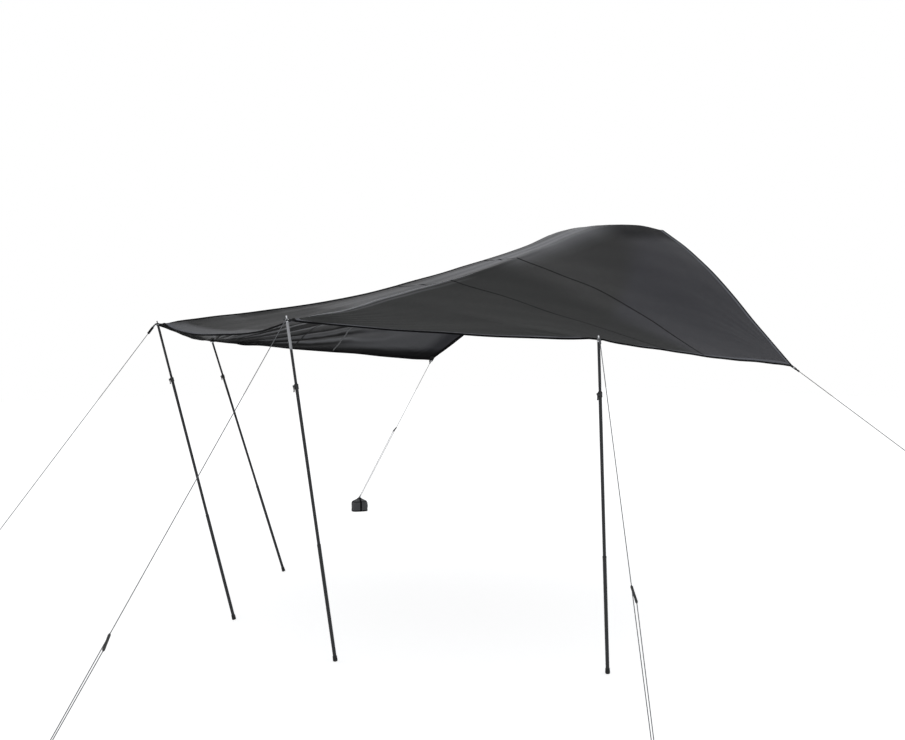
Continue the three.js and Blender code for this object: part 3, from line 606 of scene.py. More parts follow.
# One upper tube's finish, with a painted highlight above 1.79 m.
worn_finish = metal_material("worn_finish", *TUBE_LOOK, highlight_above=1.79)
steel_finish = metal_material("steel_finish", (0.62, 0.63, 0.65), 1.0, 0.22, (0.8, 0.8, 0.82), (300, 300, 300))
rubber_finish = moulded_material("rubber_finish", (0.010, 0.010, 0.0105), 0.78, 900, 0.0002)
plastic_finish = moulded_material("plastic_finish", (0.012, 0.0122, 0.013), 0.48, 1400, 0.00012)


# ---- Modelling helpers ----
def deselect():
    if bpy.context.object and bpy.context.object.mode != "OBJECT":
        bpy.ops.object.mode_set(mode="OBJECT")
    bpy.ops.object.select_all(action="DESELECT")


def only(piece):
    deselect()
    piece.select_set(True)
    bpy.context.view_layer.objects.active = piece


@contextmanager
def editing(piece):
    """The piece's edit mode, with all of it selected."""
    only(piece)
    bpy.ops.object.mode_set(mode="EDIT")
    bpy.ops.mesh.select_all(action="SELECT")
    yield
    bpy.ops.object.mode_set(mode="OBJECT")


def named(name):
    """The object that the last operator made, with this name."""
    piece = bpy.context.object
    piece.name = name
    piece.data.name = name
    return piece


def apply_all(piece):
    """Applies the modifiers and the place, so that the object sits at the origin."""
    only(piece)
    for modifier in list(piece.modifiers):
        bpy.ops.object.modifier_apply(modifier=modifier.name)
    bpy.ops.object.transform_apply(location=True, rotation=True, scale=True)


def smooth(piece, degrees):
    only(piece)
    bpy.ops.object.shade_smooth_by_angle(angle=math.radians(degrees))
    return piece


def face_outward(piece):
    with editing(piece):
        bpy.ops.mesh.normals_make_consistent(inside=False)
    return piece


def subdivide(piece, cuts):
    with editing(piece):
        bpy.ops.mesh.subdivide(number_cuts=cuts)


def bevel(piece, width, segments, angle):
    """Rounds the edges and applies what the piece has."""
    modifier = piece.modifiers.new("rounded_edges", "BEVEL")
    modifier.width = width
    modifier.segments = segments
    modifier.limit_method = "ANGLE"
    modifier.angle_limit = math.radians(angle)
    apply_all(piece)


def thicken(piece, thickness):
    modifier = piece.modifiers.new("thickness", "SOLIDIFY")
    modifier.thickness = thickness
    modifier.offset = 0
    apply_all(piece)


def turned_piece(name, stations, sides, smooth_angle, closed=False):
    """A turned piece: a ring extruded and widened through [radius, height] stations along Z."""
    deselect()
    radius, height = stations[0]
    bpy.ops.mesh.primitive_circle_add(vertices=sides, radius=radius, location=(0, 0, 0))
    piece = named(name)
    with editing(piece):
        bpy.ops.transform.translate(value=(0, 0, height))
        for new_radius, new_height in stations[1:]:
            bpy.ops.mesh.extrude_region_move(TRANSFORM_OT_translate={"value": (0, 0, new_height - height)})
            factor = new_radius / radius
            bpy.ops.transform.resize(value=(factor, factor, 1), center_override=(0, 0, new_height))
            radius, height = new_radius, new_height
        if not closed:
            bpy.ops.mesh.edge_face_add()
    if not closed:
        for vertex in piece.data.vertices:
            vertex.select = vertex.index < sides
        for edge in piece.data.edges:
            edge.select = all(i < sides for i in edge.vertices)
        bpy.ops.object.mode_set(mode="EDIT")
        bpy.ops.mesh.edge_face_add()
    with editing(piece):
        bpy.ops.mesh.remove_doubles(threshold=0.000001)
        bpy.ops.mesh.normals_make_consistent(inside=False)
    return smooth(piece, smooth_angle)


def block_piece(name, size, centre, edge, segments):
    """A block with rounded edges, as moulded or cut from bar."""
    deselect()
    bpy.ops.mesh.primitive_cube_add(size=1, location=centre, scale=size)
    piece = named(name)
    bpy.ops.object.transform_apply(location=True, rotation=True, scale=True)
    bevel(piece, edge, segments, 30)
    return piece


def join_pieces(name, parts, smooth_angle):
    deselect()
    for part in parts:
        part.select_set(True)
    bpy.context.view_layer.objects.active = parts[0]
    bpy.ops.object.join()
    return smooth(named(name), smooth_angle)


def finish_piece(piece, material, body, slot, *nodes):
    """Gives a piece its material, the body that it rides on and the solids that it stands for; slot is not used."""
    piece.data.materials.clear()
    piece.data.materials.append(material)
    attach(piece, body)
    if nodes:
        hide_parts(*nodes)
    return piece


def placed_copy(pattern, name, matrix, *finish):
    """A copy of a pattern made at the origin, moved to its place and finished."""
    made = pattern.copy()
    made.data = pattern.data.copy()
    made.name = name
    made.data.name = name
    bpy.context.scene.collection.objects.link(made)
    made.data.transform(matrix)
    return finish_piece(made, *finish)


def discard(patterns):
    for pattern in patterns:
        bpy.data.objects.remove(pattern)


def mesh_from(name, points, faces, places=None, panels=None):
    """A mesh made in code for cloth, webbing and cord. places and panels hold a pair for each corner of each face."""
    data = bpy.data.meshes.new(name)
    data.from_pydata([tuple(p) for p in points], [], faces)
    for label, pairs in (("along", places), ("panel", panels)):
        if pairs is not None:
            layer = data.uv_layers.new(name=label)
            layer.data.foreach_set("uv", np.asarray(pairs, np.float32).ravel())
    data.update()
    piece = bpy.data.objects.new(name, data)
    bpy.context.scene.collection.objects.link(piece)
    for polygon in data.polygons:
        polygon.use_smooth = True
    return piece


def unit_rows(vectors):
    return vectors / np.linalg.norm(vectors, axis=1)[:, None]


def tangents_of(points):
    return unit_rows(np.gradient(np.asarray(points, float), axis=0))


def swept_piece(name, rings, along, across, closed=False):
    """A skin over rings of points: along and across hold each point's place on it, with the seam's twice."""
    count, around = rings.shape[:2]
    faces, places = [], []
    for i in range(count if closed else count - 1):
        j = (i + 1) % count
        for k in range(around):
            m = (k + 1) % around
            faces.append((i * around + k, i * around + m, j * around + m, j * around + k))
            places += [(along[i], across[k]), (along[i], across[k + 1])]
            places += [(along[i + 1], across[k + 1]), (along[i + 1], across[k])]
    if not closed:
        for i, turn in ((0, -1), (count - 1, 1)):
            faces.append(tuple(i * around + k for k in range(around))[::turn])
            places += [(along[i], across[k]) for k in range(around)][::turn]
    return face_outward(mesh_from(name, rings.reshape(-1, 3), faces, places))


def swept_band(name, centres, sideways, normals, profile, closed=False):
    """A band with one cross-section swept along a line: the profile holds [sideways, normal] pairs in order."""
    centres, sideways, normals = (np.asarray(a, float)[:, None, :] for a in (centres, sideways, normals))
    outline = np.array(profile)[None, :, :, None]
    rings = centres + outline[:, :, 0] * sideways + outline[:, :, 1] * normals
    line = centres[:, 0]
    steps = np.linalg.norm(np.diff(np.vstack([line, line[:1]]), axis=0), axis=1)
    across = [reach for reach, _ in profile]
    return swept_piece(name, rings, np.concatenate([[0], np.cumsum(steps)]), [*across, across[0]], closed)


def flat_profile(low, high, thickness):
    """A flat band's outline from one side to the other, with its long edges eased."""
    half = thickness / 2
    ease = min(half, (high - low) / 6) * 0.7
    lower = [(low, -half + ease), (low + ease, -half), (high - ease, -half), (high, -half + ease)]
    return lower + [(reach, -height) for reach, height in reversed(lower)]


def cord_piece(name, points, radius, sides=12, hint=(0.3, 0.5, 0.8)):
    """A round cord along a line, turned as little as it can be, with a place on it for its braid."""
    tangents = tangents_of(points)
    normal = np.asarray(hint, float)
    normals = []
    for tangent in tangents:
        normal = normal - tangent * (normal @ tangent)
        normal = normal / np.linalg.norm(normal)
        normals.append(normal)
    normals = np.array(normals)
    sideways = np.cross(normals, tangents)
    angles = (2 * math.pi * np.arange(sides) / sides)[None, :, None]
    points = np.asarray(points, float)
    rings = points[:, None] + radius * np.cos(angles) * sideways[:, None] + radius * np.sin(angles) * normals[:, None]
    along = np.concatenate([[0], np.cumsum(np.linalg.norm(np.diff(points, axis=0), axis=1))])
    return swept_piece(name, rings, along, 2 * math.pi * radius / sides * np.arange(sides + 1))


# ---- Guy lines: these first, on the routes of the solids ----
CORD_RADIUS = 0.002
TURN_RADIUS = 0.005
TURN_STEPS = 12
STRAND_SPREAD = 0.014
RING_RADIUS = 0.017
RING_WIRE = 0.0025
SLIDER_LENGTH = 0.086
SLIDER_WIDTH = 0.011
SLIDER_THICKNESS = 0.008
SLIDER_EYE_INSET = 0.006
SLIDER_BLIND_DEPTH = 0.014
SLIDER_HOLE = 0.0024
BAG_NECK_TOP = 0.148
BAG_LOOP_RISE = 0.012
BAG_LOOP_RADIUS = 0.007
BAG_LOOP_WIDTH = 0.014
FIT_GAP = 0.0003
# Each line's start at its tab, its bag's place, and the slider's share of the way down.
GUYS = {
    "outer_near": ((0.83041, -1.83181, 1.94265), (1.516, -1.974), 0.775),
    "outer_far": ((-0.81631, -1.83655, 1.94360), (-0.870, -1.850), 0.775),
    "middle_near": ((2.12017, -0.79610, 1.83635), (3.054, -0.067), 0.645),
    "inner_near": ((1.88030, 1.23662, 1.65898), (3.840, 3.250), 0.44),
    "inner_far": ((-1.88332, 1.22722, 1.65899), (-4.040, 3.319), 0.44),
}
# The photo shows a webbing sleeve on the far outer line, and the near inner line darker than the others.
SLEEVE_LINE = "outer_far"
SLEEVE_SPAN = (0.020, 0.074)
SLEEVE_WIDTH = 0.015
SLEEVE_THICKNESS = 0.0062
DARK_LINE = "inner_near"


def frame_at(place, x, y, z):
    """The matrix that takes a piece made at the origin to a place with these three directions."""
    matrix = Matrix((x, y, z)).transposed().to_4x4()
    matrix.translation = place
    return matrix


class GuyLine:
    """The directions and places along one guy line, as in the solids."""

    def __init__(self, name, start, bag, slider_share):
        self.name = name
        self.neck = Vector((bag[0], bag[1] + ROW_SHIFT, BAG_NECK_TOP))
        self.start = Vector(start)
        line = self.neck - self.start
        self.down = line.normalized()
        self.across = self.down.cross(Vector((0, 0, 1))).normalized()
        self.over = self.down.cross(self.across)
        hole = RING_RADIUS - RING_WIRE
        curl = hole - math.sqrt(hole**2 - (BAG_LOOP_WIDTH / 2) ** 2)
        ring_bottom = BAG_LOOP_RISE + BAG_LOOP_RADIUS - RING_WIRE - FIT_GAP - curl
        self.turn_centre = line.length - ring_bottom - 2 * RING_RADIUS
        self.slider_top = slider_share * self.turn_centre
        self.return_end = self.slider_top + SLIDER_LENGTH - SLIDER_BLIND_DEPTH

    def at(self, along, across, over=0.0):
        return self.start + self.down * along + self.across * across + self.over * over

    def slider_frame(self):
        return frame_at(self.at(self.slider_top + SLIDER_EYE_INSET, TURN_RADIUS), self.down, self.across, self.over)

    def ring_frame(self):
        return frame_at(self.at(self.turn_centre + RING_RADIUS, 0), self.down, self.over, -self.across)


def span(low, high, count):
    return [low + (high - low) * i / (count - 1) for i in range(count)]


def bored(piece, place, direction, radius, length):
    """Cuts a round hole through a piece."""
    deselect()
    bpy.ops.mesh.primitive_cylinder_add(vertices=24, radius=radius, depth=length)
    drill = named("drill")
    drill.data.transform(Vector(direction).to_track_quat("Z", "Y").to_matrix().to_4x4())
    drill.data.transform(Matrix.Translation(place))
    cut = piece.modifiers.new("hole", "BOOLEAN")
    cut.operation = "DIFFERENCE"
    cut.solver = "EXACT"
    cut.object = drill
    only(piece)
    bpy.ops.object.modifier_apply(modifier=cut.name)
    mesh = drill.data
    bpy.data.objects.remove(drill)
    bpy.data.meshes.remove(mesh)


def slider_shape():
    """The bar slider: a slim moulded bar with round ends that lean to the return strand."""
    lean = math.atan2(-STRAND_SPREAD, SLIDER_LENGTH - 2 * SLIDER_EYE_INSET)
    low = -SLIDER_EYE_INSET
    high = SLIDER_LENGTH - SLIDER_EYE_INSET
    half = SLIDER_WIDTH / 2
    size = (high - low, SLIDER_WIDTH, SLIDER_THICKNESS)
    bar = block_piece("bar_slider", size, ((low + high) / 2, 0, 0), 0.0002, 1)
    subdivide(bar, 12)
    for vertex in bar.data.vertices:
        x, y, z = vertex.co
        end = min(x - low, high - x)
        round_end = math.sqrt(max(0.0, 1 - (1 - end / half) ** 2)) if end < half else 1
        waist = 1 - 0.16 * math.sin(math.pi * (x - low) / (high - low))
        vertex.co = (x, y * round_end * waist, z * (0.55 + 0.45 * round_end) * (2 - waist) * 0.93)
    bar.data.transform(Matrix.Rotation(lean, 4, "Z"))
    blind = high - SLIDER_BLIND_DEPTH + SLIDER_LENGTH / 2
    bored(bar, (SLIDER_LENGTH / 2, 0, 0), (1, 0, 0), SLIDER_HOLE, 3 * SLIDER_LENGTH)
    bored(bar, (blind, -STRAND_SPREAD, 0), (1, 0, 0), SLIDER_HOLE, SLIDER_LENGTH)
    bevel(bar, 0.0008, 2, 50)
    return smooth(bar, 45)


def ring_shape():
    """The steel ring: a wire spun round, with its welded join."""
    deselect()
    bpy.ops.mesh.primitive_circle_add(vertices=16, radius=RING_WIRE, location=(RING_RADIUS, 0, 0))
    ring = named("steel_ring")
    bpy.ops.object.transform_apply(location=True)
    with editing(ring):
        bpy.ops.transform.rotate(value=math.pi / 2, orient_axis="X", center_override=(RING_RADIUS, 0, 0))
        bpy.ops.mesh.spin(steps=56, angle=2 * math.pi, center=(0, 0, 0), axis=(0, 0, 1), use_auto_merge=True)
        bpy.ops.mesh.select_all(action="SELECT")
        bpy.ops.mesh.remove_doubles(threshold=0.00001)
        bpy.ops.mesh.normals_make_consistent(inside=False)
    for vertex in ring.data.vertices:
        angle = math.atan2(vertex.co.y, vertex.co.x)
        centre = Vector((RING_RADIUS * math.cos(angle), RING_RADIUS * math.sin(angle), 0))
        bead = 1 + 0.07 * math.exp(-(((angle - 2.0) / 0.10) ** 2))
        vertex.co = centre + (vertex.co - centre) * bead
    return smooth(ring, 60)


def eased(points):
    """The same line with its corners cut off twice."""
    for _ in range(2):
        cut = [points[0]]
        for a, b in zip(points, points[1:]):
            cut += [a * 0.75 + b * 0.25, a * 0.25 + b * 0.75]
        points = [*cut, points[-1]]
    return points


# The corner eye of a line: its turn's first angle and sweep, and its [out, sideways, up] or [out, up] places.
EYE_LOOP_RADIUS = 0.0068
EYE_LOOP_TURN = (70, 220)
EYE_LOOP_STEPS = 12
EYE_LOOP_HEIGHT = 0.0056
PIN_LOOP_LEGS = [(0.0195, 0.0022, 0.0014), (0.0168, 0.0030, 0.0040), (0.0115, 0.0050, EYE_LOOP_HEIGHT)]
HOLE_LOOP = [(0.0190, 0.0020), (0.0155, 0.0042), (0.0100, 0.0052), (0.0035, 0.0052), (0.0006, 0.0030)]
POLE_AXES = {"outer": (0.101959, -0.214990, 0.971279), "middle": (0.179685, -0.230537, 0.956329)}
KNOT_START = 0.0035
KNOT_TURNS = 4.5
KNOT_LENGTH = 0.019
KNOT_RADIUS = 0.0038
KNOT_END_SHARE = 0.55
KNOT_SWELL = 6
KNOT_STEPS = 72


def corner_eye(guy):
    """The line's closed eye round the pole's pin, or through the hole of a tab that has no pole."""
    kind, side_name = guy.name.split("_")
    side = SIDES[side_name]
    eye, _, up = (mirrored(v, side) for v in TAB_FRAMES[kind])
    out = guy.down - up * guy.down.dot(up)
    out.normalize()
    sideways = up.cross(out)
    knot = guy.at(KNOT_START + 0.004, TURN_RADIUS)
    if kind in POLE_AXES:
        middle = eye + mirrored(POLE_AXES[kind], side) * EYE_LOOP_HEIGHT
        first, sweep = EYE_LOOP_TURN
        leg = [eye + out * x + sideways * y + up * z for x, y, z in PIN_LOOP_LEGS]
        back = [eye + out * x - sideways * y + up * z for x, y, z in reversed(PIN_LOOP_LEGS)]
        turn = [
            middle + (out * math.cos(angle) + sideways * math.sin(angle)) * EYE_LOOP_RADIUS
            for angle in (math.radians(first + sweep * i / EYE_LOOP_STEPS) for i in range(EYE_LOOP_STEPS + 1))
        ]
        points = [knot, *leg, *turn, *back, knot]
    else:
        over = [eye + out * x + up * z for x, z in HOLE_LOOP]
        under = [eye + out * x - up * z for x, z in reversed(HOLE_LOOP)]
        points = [knot, *over, eye, *under, knot]
    return cord_piece(f"line_eye_{guy.name}", eased(points), CORD_RADIUS, 10, up)


def corner_knot(guy):
    """The whipping that closes the eye: the line's own end wound round it."""
    points = []
    for share in span(0, 1, KNOT_STEPS + 1):
        angle = 2 * math.pi * KNOT_TURNS * share
        radius = KNOT_RADIUS * min(1.0, KNOT_END_SHARE + KNOT_SWELL * min(share, 1 - share))
        along = KNOT_START + KNOT_LENGTH * share
        points.append(guy.at(along, TURN_RADIUS + radius * math.cos(angle), radius * math.sin(angle)))
    return cord_piece(f"line_knot_{guy.name}", points, CORD_RADIUS, 10)


def line_sleeve(guy):
    """The webbing sleeve over both strands of the line, just below its corner."""
    line = [guy.at(a, TURN_RADIUS) for a in span(*SLEEVE_SPAN, 16)]
    profile = flat_profile(-SLEEVE_WIDTH / 2, SLEEVE_WIDTH / 2, SLEEVE_THICKNESS)
    sleeve = swept_band(f"line_sleeve_{guy.name}", line, [guy.over] * len(line), [guy.across] * len(line), profile)
    bevel(sleeve, 0.0008, 2, 50)
    return finish_piece(sleeve, strap_webbing, "awning", "webbing")


def declare_cord(points):
    length = sum((b - a).length for a, b in zip(points, points[1:]))


def add_guy_line(guy, slider, ring):
    """The running line from the corner round the ring, the return strand up to the slider, and both fittings."""
    name = guy.name
    braid = dark_braid if name == DARK_LINE else cord_braid
    slider_body = f"slider_{name}"
    slider = placed_copy(
        slider, f"line_slider_{name}", guy.slider_frame(), plastic_finish, slider_body, "moulded_plastic", slider_body
    )
    ring = placed_copy(
        ring, f"line_ring_{name}", guy.ring_frame(), steel_finish, "awning", "steel", f"weight_ring_{name}"
    )
    run = [guy.at(a, TURN_RADIUS) for a in span(0, guy.turn_centre, 30)]
    for i in range(1, TURN_STEPS + 1):
        angle = math.pi * i / TURN_STEPS
        run.append(guy.at(guy.turn_centre + TURN_RADIUS * math.sin(angle), TURN_RADIUS * math.cos(angle)))
    line = cord_piece(f"running_line_{name}", run, CORD_RADIUS)
    finish_piece(line, braid, "awning", "cord", f"guy_line_{name}")
    for piece in (corner_eye(guy), corner_knot(guy)):
        finish_piece(piece, braid, "awning", "cord")
    if name == SLEEVE_LINE:
        line_sleeve(guy)
    declare_cord(run)
    back = []
    for share in span(0, 1, 24):
        along = guy.turn_centre + (guy.return_end - guy.turn_centre) * share
        back.append(guy.at(along, -TURN_RADIUS + share * (2 * TURN_RADIUS - STRAND_SPREAD)))
    strand = cord_piece(f"return_line_{name}", back, CORD_RADIUS)
    strand.data.materials.append(braid)
    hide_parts(f"guy_line_{name}")
    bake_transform(strand)
    declare_cord(back)


guy_lines = [GuyLine(name, *places) for name, places in GUYS.items()]
fitting_patterns = (slider_shape(), ring_shape())
for guy_line in guy_lines:
    add_guy_line(guy_line, *fitting_patterns)
discard(fitting_patterns)


# ---- Canopy ----
OUTER_CELLS = 60
INNER_CELLS = 110
STRIP_CELLS = 16
FACE_CELLS = 66
CLOTH_FABRIC = 0.0012
# Folds that run out of each corner: how many per turn, how deep, and how far they reach.
CORNER_FOLDS = {
    ("outer", 1): (46, 0.0035, 0.50),
    ("outer", -1): (46, 0.0035, 0.60),
    ("middle", 1): (34, 0.0022, 0.45),
    ("middle", -1): (STREAK_TURNS, 0.0140, STREAK_REACH),
    ("inner", 1): (30, 0.0025, 0.40),
    ("inner", -1): (34, 0.0050, 0.60),
}
# How much lower the far crease hangs than the near one, as in the photo: row shares and metres.
FAR_SAG_ROWS = [0, 0.08, 0.2, 0.28, 0.38, 0.5, 0.6, 0.66, 0.72, 0.8, 0.86, 1]
FAR_SAG = [0, 0, 0.005, 0.008, 0.020, 0.027, 0.026, 0.017, 0.010, 0.008, 0, 0]
FAR_SAG_REACH = 0.4


def fold_depth(points):
    """How far the cloth's folds lift it, at points in the row frame."""
    x, y = points[..., 0], points[..., 1]
    lift = np.zeros(x.shape)
    still = np.ones(x.shape)
    for (kind, fold_side), (turns, depth, reach) in CORNER_FOLDS.items():
        eye = TAB_FRAMES[kind][0]
        dx, dy = x - fold_side * eye[0], y - eye[1]
        away = np.sqrt(dx**2 + dy**2) + 1e-9
        angle = np.arctan2(dy, dx)
        rise = np.clip(away / 0.22, 0, 1) ** 2 * np.exp(-((away / reach) ** 1.5))
        uneven = 0.75 + 0.25 * np.sin(3 * angle + 1.3 * fold_side) * np.cos(5.1 * angle)
        lift += depth * rise * uneven * np.sin(turns * angle + STREAK_DRIFT * np.sin(STREAK_BEND * away / reach))
        still *= 1 - np.exp(-((away / 0.11) ** 2))
    drift = (
        0.0030 * np.sin(3.1 * x + 2.3 * y)
        + 0.0022 * np.sin(5.3 * y - 2.7 * x + 1.0)
        + 0.0012 * np.sin(11 * x + 7 * y + 0.6)
        + 0.0008 * np.sin(17 * y - 13 * x)
    )
    return (lift + drift) * still


def strip_folds(row, across):
    """Lengthwise folds between the two creases."""
    fade = np.clip(row / 0.1, 0, 1) * np.clip((1 - row) / 0.25, 0, 1)
    inside = 1 - np.abs(across) ** 4
    wave = np.sin(9.5 * across + 1.2 * row) + 0.6 * np.sin(17 * across - 2.0 * row + 0.7)
    return 0.0030 * fade * inside * wave


def cloth_point(side, inner, share, across):
    """The cloth's upper face: across runs from 0 on the ridge, through 1 on the crease, to 2 on the side edge."""
    share, across = np.broadcast_arrays(share, across)
    row = side_row(inner, share)
    flat = strip_point(row, np.minimum(across, 1))
    slope = face_point(side_edge(inner, share), row, np.maximum(across - 1, 0))
    point = np.where((across > 1)[..., None], slope, flat)
    point = point * np.array([side, 1, 1]) + np.array([0, ROW_SHIFT, 0])
    strip = np.where(across < 1, strip_folds(row, np.minimum(across, 1) * side), 0)
    crease = np.exp(-(((across - 1) / 0.05) ** 2)) * np.clip((row - 0.05) / 0.2, 0, 1) * np.clip((1 - row) / 0.2, 0, 1)
    point[..., 2] += fold_depth(point) * np.clip(across * 2, 0.3, 1) + strip + 0.002 * crease
    if side < 0:
        point[..., 2] -= np.interp(row, FAR_SAG_ROWS, FAR_SAG) * np.exp(-(((across - 1) / FAR_SAG_REACH) ** 2))
    return point


def canopy_grid():
    """Rows of points over the whole cloth, from the outer edge to the crest, and each point's [across, row share]."""
    near = np.concatenate([np.linspace(0, 1, STRIP_CELLS + 1), 1 + np.linspace(0, 1, FACE_CELLS + 1)[1:]])
    both = np.concatenate([-near[:0:-1], near])
    points, panels = [], []
    for inner, cells in ((0, OUTER_CELLS), (1, INNER_CELLS)):
        share = np.linspace(0, 1, cells + 1)[:, None]
        right = cloth_point(1, inner, share, near[None, :])
        left = cloth_point(-1, inner, share, near[None, ::-1])
        points.append(np.concatenate([left[:, :-1], right], axis=1))
        panels.append(np.stack(np.broadcast_arrays(both[None, :], side_row(inner, share)), axis=-1))
    return np.concatenate(points, axis=0), np.concatenate(panels, axis=0)


def grid_places():
    """Each point's place on the flat cloth, in metres: across from the ridge and along from the outer edge."""
    across = np.zeros(grid.shape[:2])
    across[:, 1:] = np.cumsum(np.linalg.norm(np.diff(grid, axis=1), axis=2), axis=1)
    across -= across[:, middle_column : middle_column + 1]
    along = np.zeros(grid.shape[:2])
    along[1:] = np.cumsum(np.linalg.norm(np.diff(grid, axis=0), axis=2), axis=0)
    return np.stack([across, along], axis=-1)


def sheet_faces(rows, columns):
    r, c = np.meshgrid(np.arange(rows - 1), np.arange(columns - 1), indexing="ij")
    a = (r * columns + c).ravel()
    return np.stack([a, a + 1, a + columns + 1, a + columns], axis=1)


def grid_normals():
    normal = np.cross(np.gradient(grid, axis=1), np.gradient(grid, axis=0))
    return normal / np.linalg.norm(normal, axis=2)[..., None]


grid, panels = canopy_grid()
middle_column = grid.shape[1] // 2
normals = grid_normals()


def add_canopy():
    faces = sheet_faces(*grid.shape[:2])
    places, marks = (of_points.reshape(-1, 2)[faces].reshape(-1, 2) for of_points in (grid_places(), panels))
    centre = grid - normals * (CLOTH_THICKNESS / 2)
    piece = mesh_from("canopy_cloth", centre.reshape(-1, 3), faces.tolist(), places, marks)
    thicken(piece, CLOTH_FABRIC)
    return finish_piece(piece, canopy_cloth, "awning", "canopy_cloth", "canopy")


def edge_frames():
    """Points once round the cloth's edge, each with its directions into the cloth and up from it."""
    rows, columns = grid.shape[:2]
    line = [(0, c) for c in range(columns)]
    line += [(r, columns - 1) for r in range(1, rows)]
    line += [(rows - 1, c) for c in range(columns - 2, -1, -1)]
    line += [(r, 0) for r in range(rows - 2, 0, -1)]
    spots = tuple(np.array(line).T)
    up = normals[spots]
    centres = grid[spots] - up * CLOTH_THICKNESS / 2
    ahead = unit_rows(np.roll(centres, -1, axis=0) - np.roll(centres, 1, axis=0))
    inward = unit_rows(np.cross(up, ahead))
    return centres, inward, np.cross(ahead, inward)


def far_side_material(piece, material, below, under_only=False):
    """Gives the part of a piece on the far side, below an X, its own material, or only its faces that look down."""
    piece.data.materials.append(material)
    for polygon in piece.data.polygons:
        if polygon.center.x < below and not (under_only and polygon.normal.z > 0):
            polygon.material_index = 1


def under_cloth(point, up, reach=0.05):
    """How far along up the cloth's lower face is from a point, or None where there is no cloth."""
    hit = canopy_tree.ray_cast(point - up * reach, up, 2 * reach)
    return None if hit[0] is None else hit[3] - reach


HEM_BINDING_WIDTH = 0.009
HEM_BINDING_THICKNESS = 0.0085
HEM_FOLD_WIDTH = 0.026
HEM_FOLD_THICKNESS = 0.0026
HEM_SHIFT = 0.009
HEM_REACHES = 6


def mitre_room(centres, centre, aside, low, high):
    """The share of a band's width that fits at one point of the cloth's edge before the band meets itself."""
    for share in np.linspace(1, 0.04, 25):
        reach = low + (high - low) * share
        if np.linalg.norm(centres - centre - aside * reach, axis=1).min() > 0.93 * reach:
            break
    return share


def lay_on_cloth(band, centres, inward, up, profile):
    """Mitres a swept band at the cloth's corners and lets it follow the cloth's own rise and fall."""
    low, high = profile[0][0], max(reach for reach, _ in profile)
    for i, (centre, aside, above) in enumerate(zip(centres, inward, up)):
        room = mitre_room(centres, centre, aside, low, high)
        above = Vector(above)
        for k, (reach, height) in enumerate(profile):
            spot = Vector(centre + aside * (low + (reach - low) * room))
            rise = under_cloth(spot, above)
            if rise is not None:
                height += max(-HEM_SHIFT, min(HEM_SHIFT, rise + CLOTH_FABRIC / 2))
            band.data.vertices[i * len(profile) + k].co = spot + above * height


def add_hem():
    """The bound edge, and the hem's fold inside it."""
    frames = edge_frames()
    profile = flat_profile(-0.002, HEM_BINDING_WIDTH, HEM_BINDING_THICKNESS)
    binding = swept_band("hem_binding", *frames, profile, closed=True)
    finish_piece(binding, hem_binding, "awning", "webbing")
    half = HEM_FOLD_THICKNESS / 2
    reaches = np.linspace(HEM_BINDING_WIDTH - 0.001, HEM_BINDING_WIDTH + HEM_FOLD_WIDTH, HEM_REACHES)
    profile = [(reach, -half) for reach in reaches] + [(reach, half) for reach in reaches[::-1]]
    fold = swept_band("hem_fold", *frames, profile, closed=True)
    lay_on_cloth(fold, *frames, profile)
    finish_piece(fold, hem_fold, "awning", "canopy_cloth")
    # The far side's hem fold gets the dark tone of painted shade.
    far_side_material(fold, far_hem_fold, min(grid[0, 0][0], grid[0, -1][0]))
    return [binding, fold]


# The piping along each crease: its row shares where it starts to swell, is whole, and thins out; and its size.
# The near piping is pale, a painted highlight along the near crease; the far piping is black, painted shade along the
# far crease.
CREASE_PIPING = {"near": ([0.06, 0.16, 0.46, 0.64], 0.008), "far": ([0.02, 0.05, 0.72, 0.88], 0.008)}


def add_crease_piping(side_name):
    swell, size = CREASE_PIPING[side_name]
    column = middle_column + SIDES[side_name] * STRIP_CELLS
    share = panels[:, column, 1]
    rows = [r for r in range(len(share)) if swell[0] <= share[r] <= swell[3]]
    up = normals[rows, column]
    centres = grid[rows, column]
    sideways = unit_rows(np.cross(up, tangents_of(centres)))
    profile = flat_profile(-size / 2, size / 2, size)
    piping = swept_band(f"crease_piping_{side_name}", centres, sideways, up, profile)
    fullness = np.interp(share[rows], swell, [0.15, 1, 1, 0.15])
    for i, (centre, full) in enumerate(zip(centres, fullness)):
        centre = Vector(centre)
        for k in range(len(profile)):
            vertex = piping.data.vertices[i * len(profile) + k]
            vertex.co = centre + (vertex.co - centre) * full
    # Pale for a painted highlight on the near crease, black for painted shade on the far one.
    finish_piece(piping, crease_cloth if side_name == "near" else hem_binding, "awning", "canopy_cloth")
    return smooth(piping, 50)


# Seams: [across, row share] pairs from the ridge to a side edge.
SEAMS = {
    "first": {
        "near": [(0, 0.577), (1, 0.577), (1.25, 0.594), (1.55, 0.603), (1.7, 0.613), (2, 0.632)],
        "far": [(0, 0.577), (1, 0.577), (1.3, 0.585), (1.7, 0.600), (2, 0.632)],
    },
    "second": {
        "near": [(0, 0.748), (1, 0.746), (1.23, 0.760), (1.4, 0.773), (1.7, 0.772), (2, 0.738)],
        "far": [(0, 0.748), (1, 0.742), (1.3, 0.705), (1.68, 0.689), (1.83, 0.709), (2, 0.731)],
    },
}
SEAM_WIDTH = 0.014
SEAM_THICKNESS = 0.0026


def seam_line(name, side_name):
    side = SIDES[side_name]
    across = np.linspace(0, 1.985, 150)
    share = (through(SEAMS[name][side_name], across) - INNER_ROW_SHARE) / (1 - INNER_ROW_SHARE)
    points = cloth_point(side, 1, share, across)
    step = 0.002
    ahead = cloth_point(side, 1, share + step, across) - points
    out = cloth_point(side, 1, share, across + step) - points
    return points, unit_rows(np.cross(out, ahead) * side)


